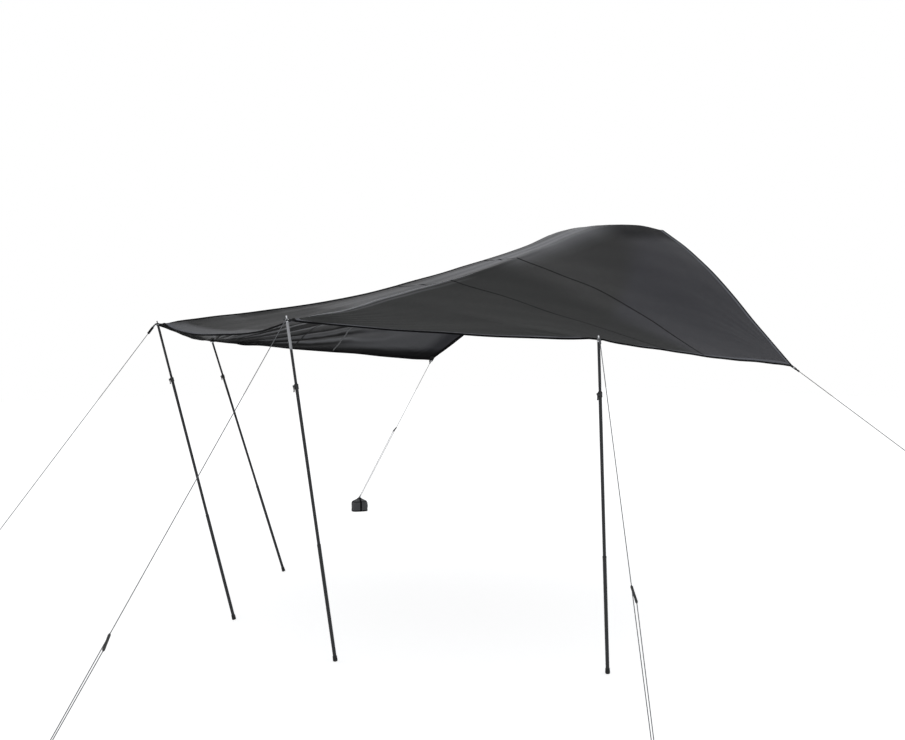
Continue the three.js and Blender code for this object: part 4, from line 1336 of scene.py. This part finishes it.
def add_seam(name):
    near, near_up = seam_line(name, "near")
    far, far_up = seam_line(name, "far")
    up = np.concatenate([far_up[::-1][:-1], near_up])
    points = np.concatenate([far[::-1][:-1], near]) - up * CLOTH_THICKNESS / 2
    profile = flat_profile(-SEAM_WIDTH / 2, SEAM_WIDTH / 2, SEAM_THICKNESS)
    band = swept_band(f"seam_{name}", points, np.cross(up, tangents_of(points)), up, profile)
    finish_piece(band, seam_cloth, "awning", "canopy_cloth")
    # The second seam's far underside gets a painted highlight; the first seam's far part a lighter plain tone.
    pale = name == "second"
    far_side_material(band, far_seam_cloth if pale else plain_seam_cloth, -0.4, pale)
    return band


canopy = add_canopy()
canopy_tree = BVHTree.FromObject(canopy, bpy.context.evaluated_depsgraph_get())
trims = [*add_hem(), *map(add_crease_piping, CREASE_PIPING), *map(add_seam, SEAMS)]


# ---- Corner tabs ----
TAB_EYE_RADIUS = 0.017
TAB_WIDTH = 0.052
TAB_INNER_LENGTH = 0.078
TAB_THICKNESS = 0.003
TAB_HOLES = {"outer": 0.0050, "middle": 0.0050, "inner": 0.0038}
TAB_FLANGE = 0.0046
# How far the webbing follows the cloth up or down, and how it eases back beyond the cloth's edge.
DRAPE_LIMIT = 0.012
DRAPE_FADE = 0.72
DRAPE_GAP = 0.0002


def draped_plate(name, place, ahead, up, outline, thickness, rows, columns, hole):
    """A flat piece of webbing sewn below the cloth: outline gives [along, half width] pairs from its inner end."""
    sideways = up.cross(ahead)
    alongs = np.linspace(outline[0][0], outline[-1][0], rows)
    lift = [0.0] * columns
    laid = []
    for along, half in zip(alongs, np.interp(alongs, *zip(*outline))):
        for c in range(columns):
            spot = place + ahead * along + sideways * half * (2 * c / (columns - 1) - 1)
            rise = under_cloth(spot, up)
            if rise is None:
                lift[c] *= DRAPE_FADE
            else:
                lift[c] = max(-DRAPE_LIMIT, min(DRAPE_LIMIT, rise - thickness / 2 - DRAPE_GAP))
            laid.append(spot + up * lift[c])
    faces = sheet_faces(rows, columns)
    flat = [laid[corner] - place for corner in faces.ravel()]
    piece = mesh_from(name, laid, faces.tolist(), [(spot.dot(ahead), spot.dot(sideways)) for spot in flat])
    thicken(piece, thickness)
    nearest = min(laid, key=lambda p: (p - place).length)
    bored(piece, place + up * (nearest - place).dot(up), up, hole, 0.04)
    bevel(piece, thickness / 5, 2, 50)
    return smooth(piece, 40)


def tab_outline():
    half = TAB_WIDTH / 2
    outline = [(-TAB_INNER_LENGTH, half - 0.002), (-TAB_INNER_LENGTH + 0.003, half), (0, TAB_EYE_RADIUS)]
    for i in range(1, 12):
        angle = math.pi / 2 * i / 12
        outline.append((TAB_EYE_RADIUS * math.sin(angle), TAB_EYE_RADIUS * math.cos(angle)))
    return [*outline, (TAB_EYE_RADIUS, 0.0012)]


def eyelet(name, hole, flange):
    """A pressed eyelet, with a rolled flange on each side of the webbing."""
    half = TAB_THICKNESS / 2
    inner, outer = hole - 0.0005, hole + flange
    lower = [(inner, 0.0004), (inner + 0.0006, 0.0011), (outer - 0.0007, 0.0009)]
    upper = [(radius, half + rise) for radius, rise in reversed(lower)]
    lower = [(radius, -half - rise) for radius, rise in lower]
    rim = [(outer, -half + 0.0002), (hole + 0.0004, -half + 0.0003), (hole + 0.0004, half - 0.0003)]
    stations = [*lower, *rim, (outer, half - 0.0002), *upper, lower[0]]
    return turned_piece(name, stations, 32, 50, closed=True)


def add_tab(kind, side_name, eyelet_pattern):
    eye, out, up = (mirrored(v, SIDES[side_name]) for v in TAB_FRAMES[kind])
    name = f"{kind}_{side_name}"
    tab = draped_plate(f"webbing_tab_{name}", eye, out, up, tab_outline(), TAB_THICKNESS, 30, 15, TAB_HOLES[kind])
    webbing = inner_tab_webbing if kind == "inner" else tab_webbing
    finish_piece(tab, webbing, "awning", "webbing", f"corner_tab_{name}")
    place = frame_at(eye, out, up.cross(out), up)
    placed_copy(eyelet_pattern, f"tab_eyelet_{name}", place, steel_finish, "awning", "steel")


for corner_kind, corner_hole in TAB_HOLES.items():
    corner_eyelet = eyelet("tab_eyelet", corner_hole, TAB_FLANGE)
    for corner_side in SIDES:
        add_tab(corner_kind, corner_side, corner_eyelet)
    discard([corner_eyelet])


# ---- Poles ----
TUBE_WALL = 0.0012
UPPER_RADIUS = 0.0075
MIDDLE_RADIUS = UPPER_RADIUS + FIT_GAP + TUBE_WALL
LOWER_RADIUS = MIDDLE_RADIUS + FIT_GAP + TUBE_WALL
FOOT_FLOOR = 0.009
LOWER_TOP = 0.720
MIDDLE_OVERLAP = 0.150
UPPER_OVERLAP = 0.380
PIN_FLANGE_HEIGHT = 0.004
LOCK_RADIUS = MIDDLE_RADIUS + 0.0028
LOCK_HEIGHT = 0.024
LOCK_LIP = 0.004
EAR_REACH = LOCK_RADIUS + 0.0072
EAR_THICKNESS = 0.003
EAR_GAP = 0.0086
EAR_HEIGHT = 0.011
PIVOT_RADIUS = 0.0016
LEVER_THICKNESS = 0.0034
LEVER_LENGTH = 0.030
# Each near pole's lowest point, its length to the upper tube's end, and how much of that tube shows.
POLES = {
    "outer": ((0.61194, -1.38796, 0.00086), 1.99498, 0.350),
    "middle": ((1.75561, -0.34849, 0.00131), 1.91255, 0.270),
}
# One pole's upper tube has a painted highlight near its top, and another's pin is dark.
HIGHLIGHT_POLE = "pole_outer_near"
DARK_PIN_POLE = "pole_outer_far"


def hollow_tube(radius, low, high, swage=0.0):
    """A drawn tube with eased ends, and a slightly widened mouth where the next tube slides in."""
    inner, ease = radius - TUBE_WALL, 0.0004
    mouth = [(radius, high - ease), (radius - ease, high)]
    if swage:
        wide = radius + swage
        mouth = [(radius, high - 0.014), (wide, high - 0.011), (wide, high - ease), (wide - ease, high)]
    foot = [(radius - ease, low), (radius, low + ease), (radius, (low + high) / 2)]
    bore = [(inner + ease / 2, high), (inner, high - ease), (inner, low + ease), (inner + ease / 2, low)]
    return turned_piece("tube", [*foot, *mouth, *bore, foot[0]], 48, 30, closed=True)


def foot_shape():
    """The rubber foot: a domed tread, three grip rings and a socket round the tube."""
    socket = LOWER_RADIUS + FIT_GAP
    stations = [(0.0045, 0.00034), (0.0090, 0.0014), (0.0122, 0.0030), (0.0136, 0.0046), (0.0138, 0.0058)]
    for i, radius in enumerate((0.0137, 0.0134, 0.0131)):
        low = 0.0080 + 0.0062 * i
        stations += [(radius - 0.0009, low), (radius - 0.0009, low + 0.0012)]
        stations += [(radius, low + 0.0022), (radius, low + 0.0042)]
    stations += [(0.0124, 0.0272), (0.0126, 0.0322), (0.0120, 0.0340)]
    stations += [(socket + 0.0004, 0.0340), (socket, 0.0334), (socket, FOOT_FLOOR)]
    return turned_piece("rubber_foot", stations, 48, 32)


def pin_shape(under):
    """The tip: a plug in the tube, a flange under the tab, and a grooved pin with a rounded end."""
    seat = under + PIN_FLANGE_HEIGHT
    top = seat + 0.026
    neck = top - 0.007
    stations = [(0.0055, under - 0.026), (0.0060, under - 0.0255), (0.0060, under), (0.0089, under)]
    stations += [(0.0095, under + 0.0006), (0.0095, seat - 0.0006), (0.0089, seat), (0.0044, seat)]
    stations += [(0.0040, seat + 0.0005), (0.0040, neck - 0.0042), (0.0028, neck - 0.0028), (0.0028, neck)]
    stations += [(0.0040, neck + 0.0018), (0.0040, top - 0.0020), (0.0037, top - 0.0009)]
    stations += [(0.0030, top - 0.0002), (0.0020, top)]
    return turned_piece("pole_pin", stations, 40, 32)


def collar_shape(top):
    """The clamp collar of the flip lock: a split ring with two ears for the lever."""
    bottom = top - LOCK_HEIGHT
    lip = top + LOCK_LIP
    socket = MIDDLE_RADIUS + FIT_GAP
    passage = UPPER_RADIUS + FIT_GAP
    groove = LOCK_RADIUS - 0.0006
    stations = [(socket, bottom), (LOCK_RADIUS - 0.0007, bottom), (LOCK_RADIUS, bottom + 0.0007)]
    for low in (bottom + 0.006, bottom + 0.0095):
        stations += [(LOCK_RADIUS, low), (groove, low + 0.0005), (groove, low + 0.0017), (LOCK_RADIUS, low + 0.0022)]
    stations += [(LOCK_RADIUS, lip - 0.0016), (LOCK_RADIUS - 0.0014, lip), (passage + 0.0005, lip)]
    stations += [(passage, lip - 0.0005), (passage, top + FIT_GAP), (socket, top + FIT_GAP), (socket, bottom)]
    ring = turned_piece("lock_ring", stations, 48, 32, closed=True)
    root = (socket + LOCK_RADIUS) / 2
    offset = (EAR_GAP + EAR_THICKNESS) / 2
    size = (EAR_REACH - root, EAR_THICKNESS, EAR_HEIGHT)
    for turn in (-1, 1):
        centre = ((EAR_REACH + root) / 2, turn * offset, top - EAR_HEIGHT / 2)
        ring = join_pieces("lock_clamp", [ring, block_piece("lock_ear", size, centre, 0.0009, 3)], 32)
    return ring


def cross_pin(name, sides, radius, depth, place, edge):
    """A round bar through the lock, along its ears' own axis."""
    deselect()
    bpy.ops.mesh.primitive_cylinder_add(vertices=sides, radius=radius, depth=depth, location=place)
    bar = named(name)
    bar.data.transform(Matrix.Rotation(math.pi / 2, 4, "X"))
    bevel(bar, edge, 2, 50)
    return bar


def lever_shape(top):
    """The lock lever: a round head between the ears, an arm with a finger tip, and its steel axle."""
    x = EAR_REACH - 2 * PIVOT_RADIUS
    z = top - EAR_HEIGHT / 2
    width = EAR_GAP - 2 * FIT_GAP
    size = (LEVER_THICKNESS, width, LEVER_LENGTH)
    arm = block_piece("lever_arm", size, (x + LEVER_THICKNESS / 2, 0, z - LEVER_LENGTH / 2), 0.0001, 1)
    subdivide(arm, 10)
    for vertex in arm.data.vertices:
        down = (z - vertex.co.z) / LEVER_LENGTH
        vertex.co.x += 0.0022 * max(0.0, down - 0.7) ** 2 / 0.09 - 0.0004 * math.sin(math.pi * down)
        vertex.co.y *= 1 - 0.14 * math.sin(math.pi * min(1.0, down * 1.1))
    bevel(arm, 0.0006, 2, 40)
    head = cross_pin("lever_head", 28, LEVER_THICKNESS - 0.00005, width, (x, 0, z), 0.0004)
    length = EAR_GAP + 2 * EAR_THICKNESS - 2 * FIT_GAP
    axle = cross_pin("lever_axle", 24, PIVOT_RADIUS, length, (x, 0, z), 0.0003)
    return join_pieces("lock_handle", [arm, head], 35), smooth(axle, 35)


def pole_frame(kind, side):
    axis = mirrored(POLE_AXES[kind], side)
    outward = (Vector((0, -1, 0)) + axis * axis.y).normalized()
    return frame_at(mirrored(POLES[kind][0], side), outward, axis.cross(outward), axis)


def pole_pieces(kind):
    """One pole made at the origin: each piece with its name, finish, slot, body and the solid it stands for."""
    _, top, shows = POLES[kind]
    lock = top - shows
    lever, axle = lever_shape(lock)
    lower = hollow_tube(LOWER_RADIUS, FOOT_FLOOR + FIT_GAP, LOWER_TOP, swage=0.0006)
    middle = hollow_tube(MIDDLE_RADIUS, LOWER_TOP - MIDDLE_OVERLAP, lock)
    upper = hollow_tube(UPPER_RADIUS, lock - UPPER_OVERLAP, top)
    return [
        (foot_shape(), "rubber_foot", rubber_finish, "foot_rubber", "lower", "foot"),
        (lower, "lower_section", tube_finish, "pole_tube", "lower", "lower_tube"),
        (middle, "middle_section", tube_finish, "pole_tube", "section", "middle_tube"),
        (collar_shape(lock), "clamp_collar", plastic_finish, "moulded_plastic", "section", "lock_collar"),
        (lever, "clamp_lever", plastic_finish, "moulded_plastic", "lock_lever", "lock_lever"),
        (axle, "clamp_axle", steel_finish, "steel", "lock_lever", None),
        (upper, "upper_section", tube_finish, "bright_tube", None, "upper_tube"),
        (pin_shape(top + FIT_GAP), "tip_pin", steel_finish, "steel", None, "pin"),
    ]


def add_poles(kind):
    pieces = pole_pieces(kind)
    for side_name, side in SIDES.items():
        place = pole_frame(kind, side)
        pole = f"pole_{kind}_{side_name}"
        for pattern, label, material, slot, body, node in pieces:
            # The pole whose upper tube has a painted highlight near its top.
            if pole == HIGHLIGHT_POLE and node == "upper_tube":
                material = worn_finish
            if pole == DARK_PIN_POLE and node == "pin":
                material = tube_finish
            carrier = f"{pole}_{body}" if body else "awning"
            nodes = [f"{pole}_{node}"] if node else []
            placed_copy(pattern, f"{label}_{kind}_{side_name}", place, material, carrier, slot, *nodes)
    discard(pattern for pattern, *_ in pieces)


for pole_kind in POLES:
    add_poles(pole_kind)


# ---- Weight bags ----
BAG_WIDTH = 0.172
BAG_DEPTH = 0.122
BAG_HEIGHT = 0.134
BAG_FLOOR = 0.0018
BAG_SIDES = 72
BAG_GIRTH = 0.55
# Shares of the bag's width and depth at each share of its height.
BAG_HIGHS = [0, 0.06, 0.45, 0.72, 0.83, 0.92, 1.0, 1.05, 1.104]
BAG_WIDE = [0.92, 0.98, 1.0, 0.97, 0.87, 0.6, 0.34, 0.22, 0.17]
BAG_DEEP = [0.86, 0.96, 1.0, 0.96, 0.82, 0.55, 0.36, 0.27, 0.24]
BAG_RINGS = [0, 0.012, 0.03, 0.06, 0.1, 0.2, 0.3, 0.4, 0.5, 0.6, 0.7, 0.78, 0.84, 0.88, 0.91, 0.94, 0.965, 0.985, 1.0]
BAG_RINGS += [1.02, 1.04, 1.06, 1.08, 1.104]
STRAP_RINGS = [1.09, 1.06, 1.03, 1.0, 0.97, 0.94, 0.9, 0.84, 0.76, 0.66, 0.55, 0.44, 0.33, 0.22, 0.12, 0.05, 0.012]
STRAP_LIFT = 0.0011
STRAP_WIDTH = 0.019
BINDING_LIFT = 0.0006


def bag_point(high, angle, out=0.0):
    """A point on the bag: high is its share of the height, out a distance outside the cloth."""
    power = 3.4 if high < 0.9 else 3.4 - 1.3 * min(1.0, (high - 0.9) / 0.15)
    c, s = math.cos(angle), math.sin(angle)
    spread = (abs(c) ** power + abs(s) ** power) ** (-1 / power)
    wide = np.interp(high, BAG_HIGHS, BAG_WIDE) * BAG_WIDTH / 2
    deep = np.interp(high, BAG_HIGHS, BAG_DEEP) * BAG_DEPTH / 2
    slump = 0.0022 * math.sin(math.pi * min(high, 1.0)) * math.sin(3 * angle + 7 * high)
    pleat = 0.0022 * min(1.0, max(0.0, (high - 0.86) / 0.12)) * math.sin(13 * angle + 2 * math.sin(2 * angle))
    crease = 0.0012 * math.sin(23 * high + 2.1 * math.sin(2 * angle)) * math.exp(-(((high - 0.5) / 0.3) ** 2))
    extra = slump + pleat * (0.5 if high > 1.03 else 1) + crease + out
    z = BAG_FLOOR + high * (BAG_HEIGHT - BAG_FLOOR)
    return Vector((wide * c * spread + extra * c, deep * s * spread + extra * s, z))


def bag_body():
    sides = BAG_SIDES
    points = [bag_point(high, 2 * math.pi * i / sides) for high in BAG_RINGS for i in range(sides)]
    faces, places = [], []
    for r in range(len(BAG_RINGS) - 1):
        for i in range(sides):
            j = (i + 1) % sides
            faces.append((r * sides + i, r * sides + j, (r + 1) * sides + j, (r + 1) * sides + i))
            low, high = BAG_RINGS[r] * BAG_HEIGHT, BAG_RINGS[r + 1] * BAG_HEIGHT
            a, b = BAG_GIRTH * i / sides, BAG_GIRTH * (i + 1) / sides
            places += [(a, low), (b, low), (b, high), (a, high)]
    for ring, turn in ((0, -1), (len(BAG_RINGS) - 1, 1)):
        rim = range(ring * sides, (ring + 1) * sides)[::turn]
        faces.append(tuple(rim))
        places += [points[i].xy for i in rim]
    return face_outward(mesh_from("bag_body", points, faces, places))


def webbing_loop(name, line, sideways, width, thickness):
    """A webbing band along a line, with the same direction across it everywhere."""
    sideways = np.repeat(np.array([sideways], float), len(line), axis=0)
    normals = np.cross(sideways, tangents_of(line))
    return swept_band(name, line, sideways, normals, flat_profile(-width / 2, width / 2, thickness))


def bag_strap(name, turn):
    """A strap round the bag in one upright plane, from the neck down one side, under the base and up the other."""
    down = [bag_point(high, turn, STRAP_LIFT) for high in STRAP_RINGS]
    up = [bag_point(high, turn + math.pi, STRAP_LIFT) for high in reversed(STRAP_RINGS)]
    first, last = down[-1], up[0]
    base = [Vector((*(first.xy + (last.xy - first.xy) * k / 10), STRAP_LIFT)) for k in range(1, 10)]
    return webbing_loop(name, [*down, *base, *up], (-math.sin(turn), math.cos(turn), 0.0), STRAP_WIDTH, 0.0016)


def bag_binding(name, high, width):
    """A bound seam round the bag at one height."""
    line, sideways, normals = [], [], []
    for i in range(96):
        angle = 2 * math.pi * i / 96
        here = bag_point(high, angle, BINDING_LIFT)
        up = (bag_point(high + 0.02, angle, BINDING_LIFT) - here).normalized()
        ahead = bag_point(high, angle + 0.03, BINDING_LIFT) - here
        line.append(here)
        sideways.append(up)
        normals.append(ahead.cross(up).normalized())
    return swept_band(name, line, sideways, normals, flat_profile(-width / 2, width / 2, 0.0022), closed=True)


def neck_tie():
    """The webbing tie round the gathered neck."""
    stations = [(0.0150, 0.1372), (0.0178, 0.1376), (0.0184, 0.1390), (0.0182, 0.1440)]
    stations += [(0.0174, 0.1456), (0.0148, 0.1460), stations[0]]
    return turned_piece("neck_tie", stations, 48, 45, closed=True)


def bag_loop():
    """The webbing loop that the ring hangs in, along X from the neck and wide along Z."""
    middle = BAG_LOOP_RADIUS + 0.0015
    legs = span(-0.014, BAG_LOOP_RISE, 7)
    line = [(x, -middle, 0) for x in legs]
    for i in range(1, 16):
        angle = -math.pi / 2 + math.pi * i / 16
        line.append((BAG_LOOP_RISE + middle * math.cos(angle), middle * math.sin(angle), 0))
    line += [(x, middle, 0) for x in reversed(legs)]
    return webbing_loop("bag_loop", line, (0, 0, 1.0), BAG_LOOP_WIDTH, 0.0028)


def add_bags():
    body = bag_body()
    loop = bag_loop()
    trims = [
        bag_strap("strap_long", 0.0),
        bag_strap("strap_short", math.pi / 2),
        bag_binding("binding_low", 0.05, 0.013),
        bag_binding("binding_high", 0.8, 0.008),
        neck_tie(),
    ]
    webbing = (strap_webbing, "awning", "webbing")
    high = Vector((0, 0, 1))
    for guy in guy_lines:
        name = guy.name
        wide = Vector((*guy.across.xy, 0)).normalized()
        place = frame_at(Vector((*guy.neck.xy, 0)), wide, high.cross(wide), high)
        bag = placed_copy(body, f"sand_bag_{name}", place, bag_cloth, "awning", "bag_cloth", f"weight_bag_{name}")
        for pattern in trims:
            placed_copy(pattern, f"bag_{pattern.name}_{name}", place, *webbing)
        loop_place = frame_at(guy.neck, -guy.down, guy.across, -guy.over)
        placed_copy(loop, f"bag_top_loop_{name}", loop_place, *webbing)
    discard((body, loop, *trims))


add_bags()


# ---- Straps and hooks at the crest ----
TENT_STRAP_PLACE = (0.175, 1.7155)
TENT_STRAP_LOW = 2.642
TENT_STRAP_WIDTH = 0.026
TENT_STRAP_THICKNESS = 0.003
TENT_HOLE_RISE = 0.012
TENT_HOLE = 0.006
HOOK_WIRE = 0.0022
HOOK_BEND = 0.009
HOOK_SHANK = 0.026
HOOK_SWEEP = 1.35 * math.pi
HOOK_STEPS = 18


def tent_strap(name, side):
    """A strap with a rounded end and an eyelet, hanging below the cloth."""
    x, y = side * TENT_STRAP_PLACE[0], TENT_STRAP_PLACE[1]
    probe = Vector((x, y, TENT_STRAP_LOW))
    high = TENT_STRAP_LOW + under_cloth(probe, Vector((0, 0, 1)), 0.2) - 0.0012
    half = TENT_STRAP_WIDTH / 2
    size = (TENT_STRAP_WIDTH, TENT_STRAP_THICKNESS, high - TENT_STRAP_LOW)
    strap = block_piece(name, size, (0, 0, 0), 0.0001, 1)
    strap.data.transform(Matrix.Translation((x, y, (high + TENT_STRAP_LOW) / 2)))
    subdivide(strap, 15)
    for vertex in strap.data.vertices:
        rise = vertex.co.z - TENT_STRAP_LOW
        if rise < half:
            vertex.co.x = x + (vertex.co.x - x) * math.sqrt(max(0.02, 1 - (1 - rise / half) ** 2))
    bored(strap, (x, y, TENT_STRAP_LOW + TENT_HOLE_RISE), (0, 1, 0), TENT_HOLE, 0.02)
    layer = strap.data.uv_layers.new(name="along")
    for loop in strap.data.loops:
        here = strap.data.vertices[loop.vertex_index].co
        layer.data[loop.index].uv = (here.z, here.x - x)
    bevel(strap, 0.0006, 2, 50)
    return smooth(strap, 40)


def bent_wire(name, points, radius, sides=16):
    """A wire bent in the YZ plane: a ring pushed and turned from point to point."""
    deselect()
    bpy.ops.mesh.primitive_circle_add(vertices=sides, radius=radius, location=(0, 0, 0), fill_type="NGON")
    piece = named(name)
    turns = [math.atan2(-(b[0] - a[0]), b[1] - a[1]) for a, b in zip(points, points[1:])]
    turns = [turns[0], *[(a + b) / 2 for a, b in zip(turns, turns[1:])], turns[-1]]
    with editing(piece):
        bpy.ops.transform.rotate(value=-turns[0], orient_axis="X", center_override=(0, 0, 0))
        bpy.ops.transform.translate(value=(0, *points[0]))
        for i in range(1, len(points)):
            step = (0, points[i][0] - points[i - 1][0], points[i][1] - points[i - 1][1])
            bpy.ops.mesh.extrude_region_move(TRANSFORM_OT_translate={"value": step})
            bpy.ops.transform.rotate(value=turns[i - 1] - turns[i], orient_axis="X", center_override=(0, *points[i]))
    face_outward(piece)
    bevel(piece, radius * 0.35, 2, 60)
    return smooth(piece, 45)


def hook_shape():
    """An S hook that hangs plumb from the middle of its top bend."""
    angles = [-HOOK_SWEEP / 2 + HOOK_SWEEP * i / HOOK_STEPS for i in range(HOOK_STEPS + 1)]
    points = [(HOOK_BEND * math.sin(angle), HOOK_BEND * math.cos(angle)) for angle in angles]
    back = 2 * points[-1][0]
    for angle in reversed(angles):
        points.append((back - HOOK_BEND * math.sin(angle), -HOOK_SHANK - HOOK_BEND * math.cos(angle)))
    plumb = -math.atan2(back, HOOK_SHANK)
    c, s = math.cos(plumb), math.sin(plumb)
    return bent_wire("tent_hook", [(y * c - z * s, y * s + z * c) for y, z in points], HOOK_WIRE)


def add_tent_straps():
    hook = hook_shape()
    ring = eyelet("strap_eyelet", TENT_HOLE - 0.0004, 0.0034)
    ring.data.transform(Matrix.Rotation(math.pi / 2, 4, "X"))
    eye_height = TENT_STRAP_LOW + TENT_HOLE_RISE
    for side_name, side in SIDES.items():
        strap = tent_strap(f"crest_strap_{side_name}", side)
        finish_piece(strap, strap_webbing, "awning", "webbing", f"tent_strap_{side_name}")
        eye = Vector((side * TENT_STRAP_PLACE[0], TENT_STRAP_PLACE[1], eye_height))
        placed_copy(ring, f"crest_eyelet_{side_name}", Matrix.Translation(eye), steel_finish, "awning", "steel")
        eye.z += HOOK_WIRE + FIT_GAP - TENT_HOLE - HOOK_BEND
        hung = f"tent_hook_{side_name}"
        placed_copy(hook, f"crest_hook_{side_name}", Matrix.Translation(eye), steel_finish, hung, "steel", hung)
    discard((hook, ring))


add_tent_straps()


# ---- Stage and light: the camera sees floor and air as white, and the floor keeps the object's shadow ----
FLOOR_REACH = 60
FLOOR_DROP = 0.0008
FLOOR_GLOW = 0.78


def seen_directly(n):
    """1 for what the camera sees itself, in a mirror or through glass, and 0 for what only lights the scene."""
    light = n.add("ShaderNodeLightPath")
    seen = n.most(light.outputs["Is Camera Ray"], light.outputs["Is Glossy Ray"])
    return n.most(seen, light.outputs["Is Transmission Ray"])


def add_floor():
    material, n, surface = new_material("studio_floor", 0.9, 0.1)
    surface.inputs["Base Color"].default_value = (0.55, 0.55, 0.55, 1)
    surface.inputs["Emission Color"].default_value = (1, 1, 1, 1)
    n.set(surface, "Emission_Strength", seen_directly(n) * FLOOR_GLOW)
    deselect()
    bpy.ops.mesh.primitive_plane_add(size=FLOOR_REACH, location=(0, 0, 0))
    floor = named("studio_floor")
    floor.data.transform(Matrix.Translation((0, 0, -FLOOR_DROP)))
    floor.data.materials.append(material)


def add_world():
    world = bpy.data.worlds.new("studio_air")
    bpy.context.scene.world = world
    world.use_nodes = True
    tree = world.node_tree
    tree.nodes.clear()
    n = Nodes(tree)
    mixed = n.add("ShaderNodeMixShader", in0=seen_directly(n))
    for i, (colour, strength) in enumerate((((0.95, 0.97, 1.0, 1), 0.62), ((1, 1, 1, 1), 1.0))):
        air = n.add("ShaderNodeBackground", Color=colour, Strength=strength)
        tree.links.new(air.outputs[0], mixed.inputs[i + 1])
    result = n.add("ShaderNodeOutputWorld")
    tree.links.new(mixed.outputs[0], result.inputs["Surface"])


def add_lamp(name, place, aim, size, power):
    data = bpy.data.lights.new(name, "AREA")
    data.shape = "SQUARE"
    data.size = size
    data.energy = power
    set_up(name, data, place, Vector(aim) - Vector(place))


add_floor()
add_world()
add_lamp("key_lamp", (6.0, -7.5, 9.0), (0, 0, 1.5), 7.0, 40)
add_lamp("back_lamp", (-7.0, 7.0, 8.0), (0, 0, 1.8), 6.0, 20)
bpy.context.scene.view_settings.view_transform = "Standard"
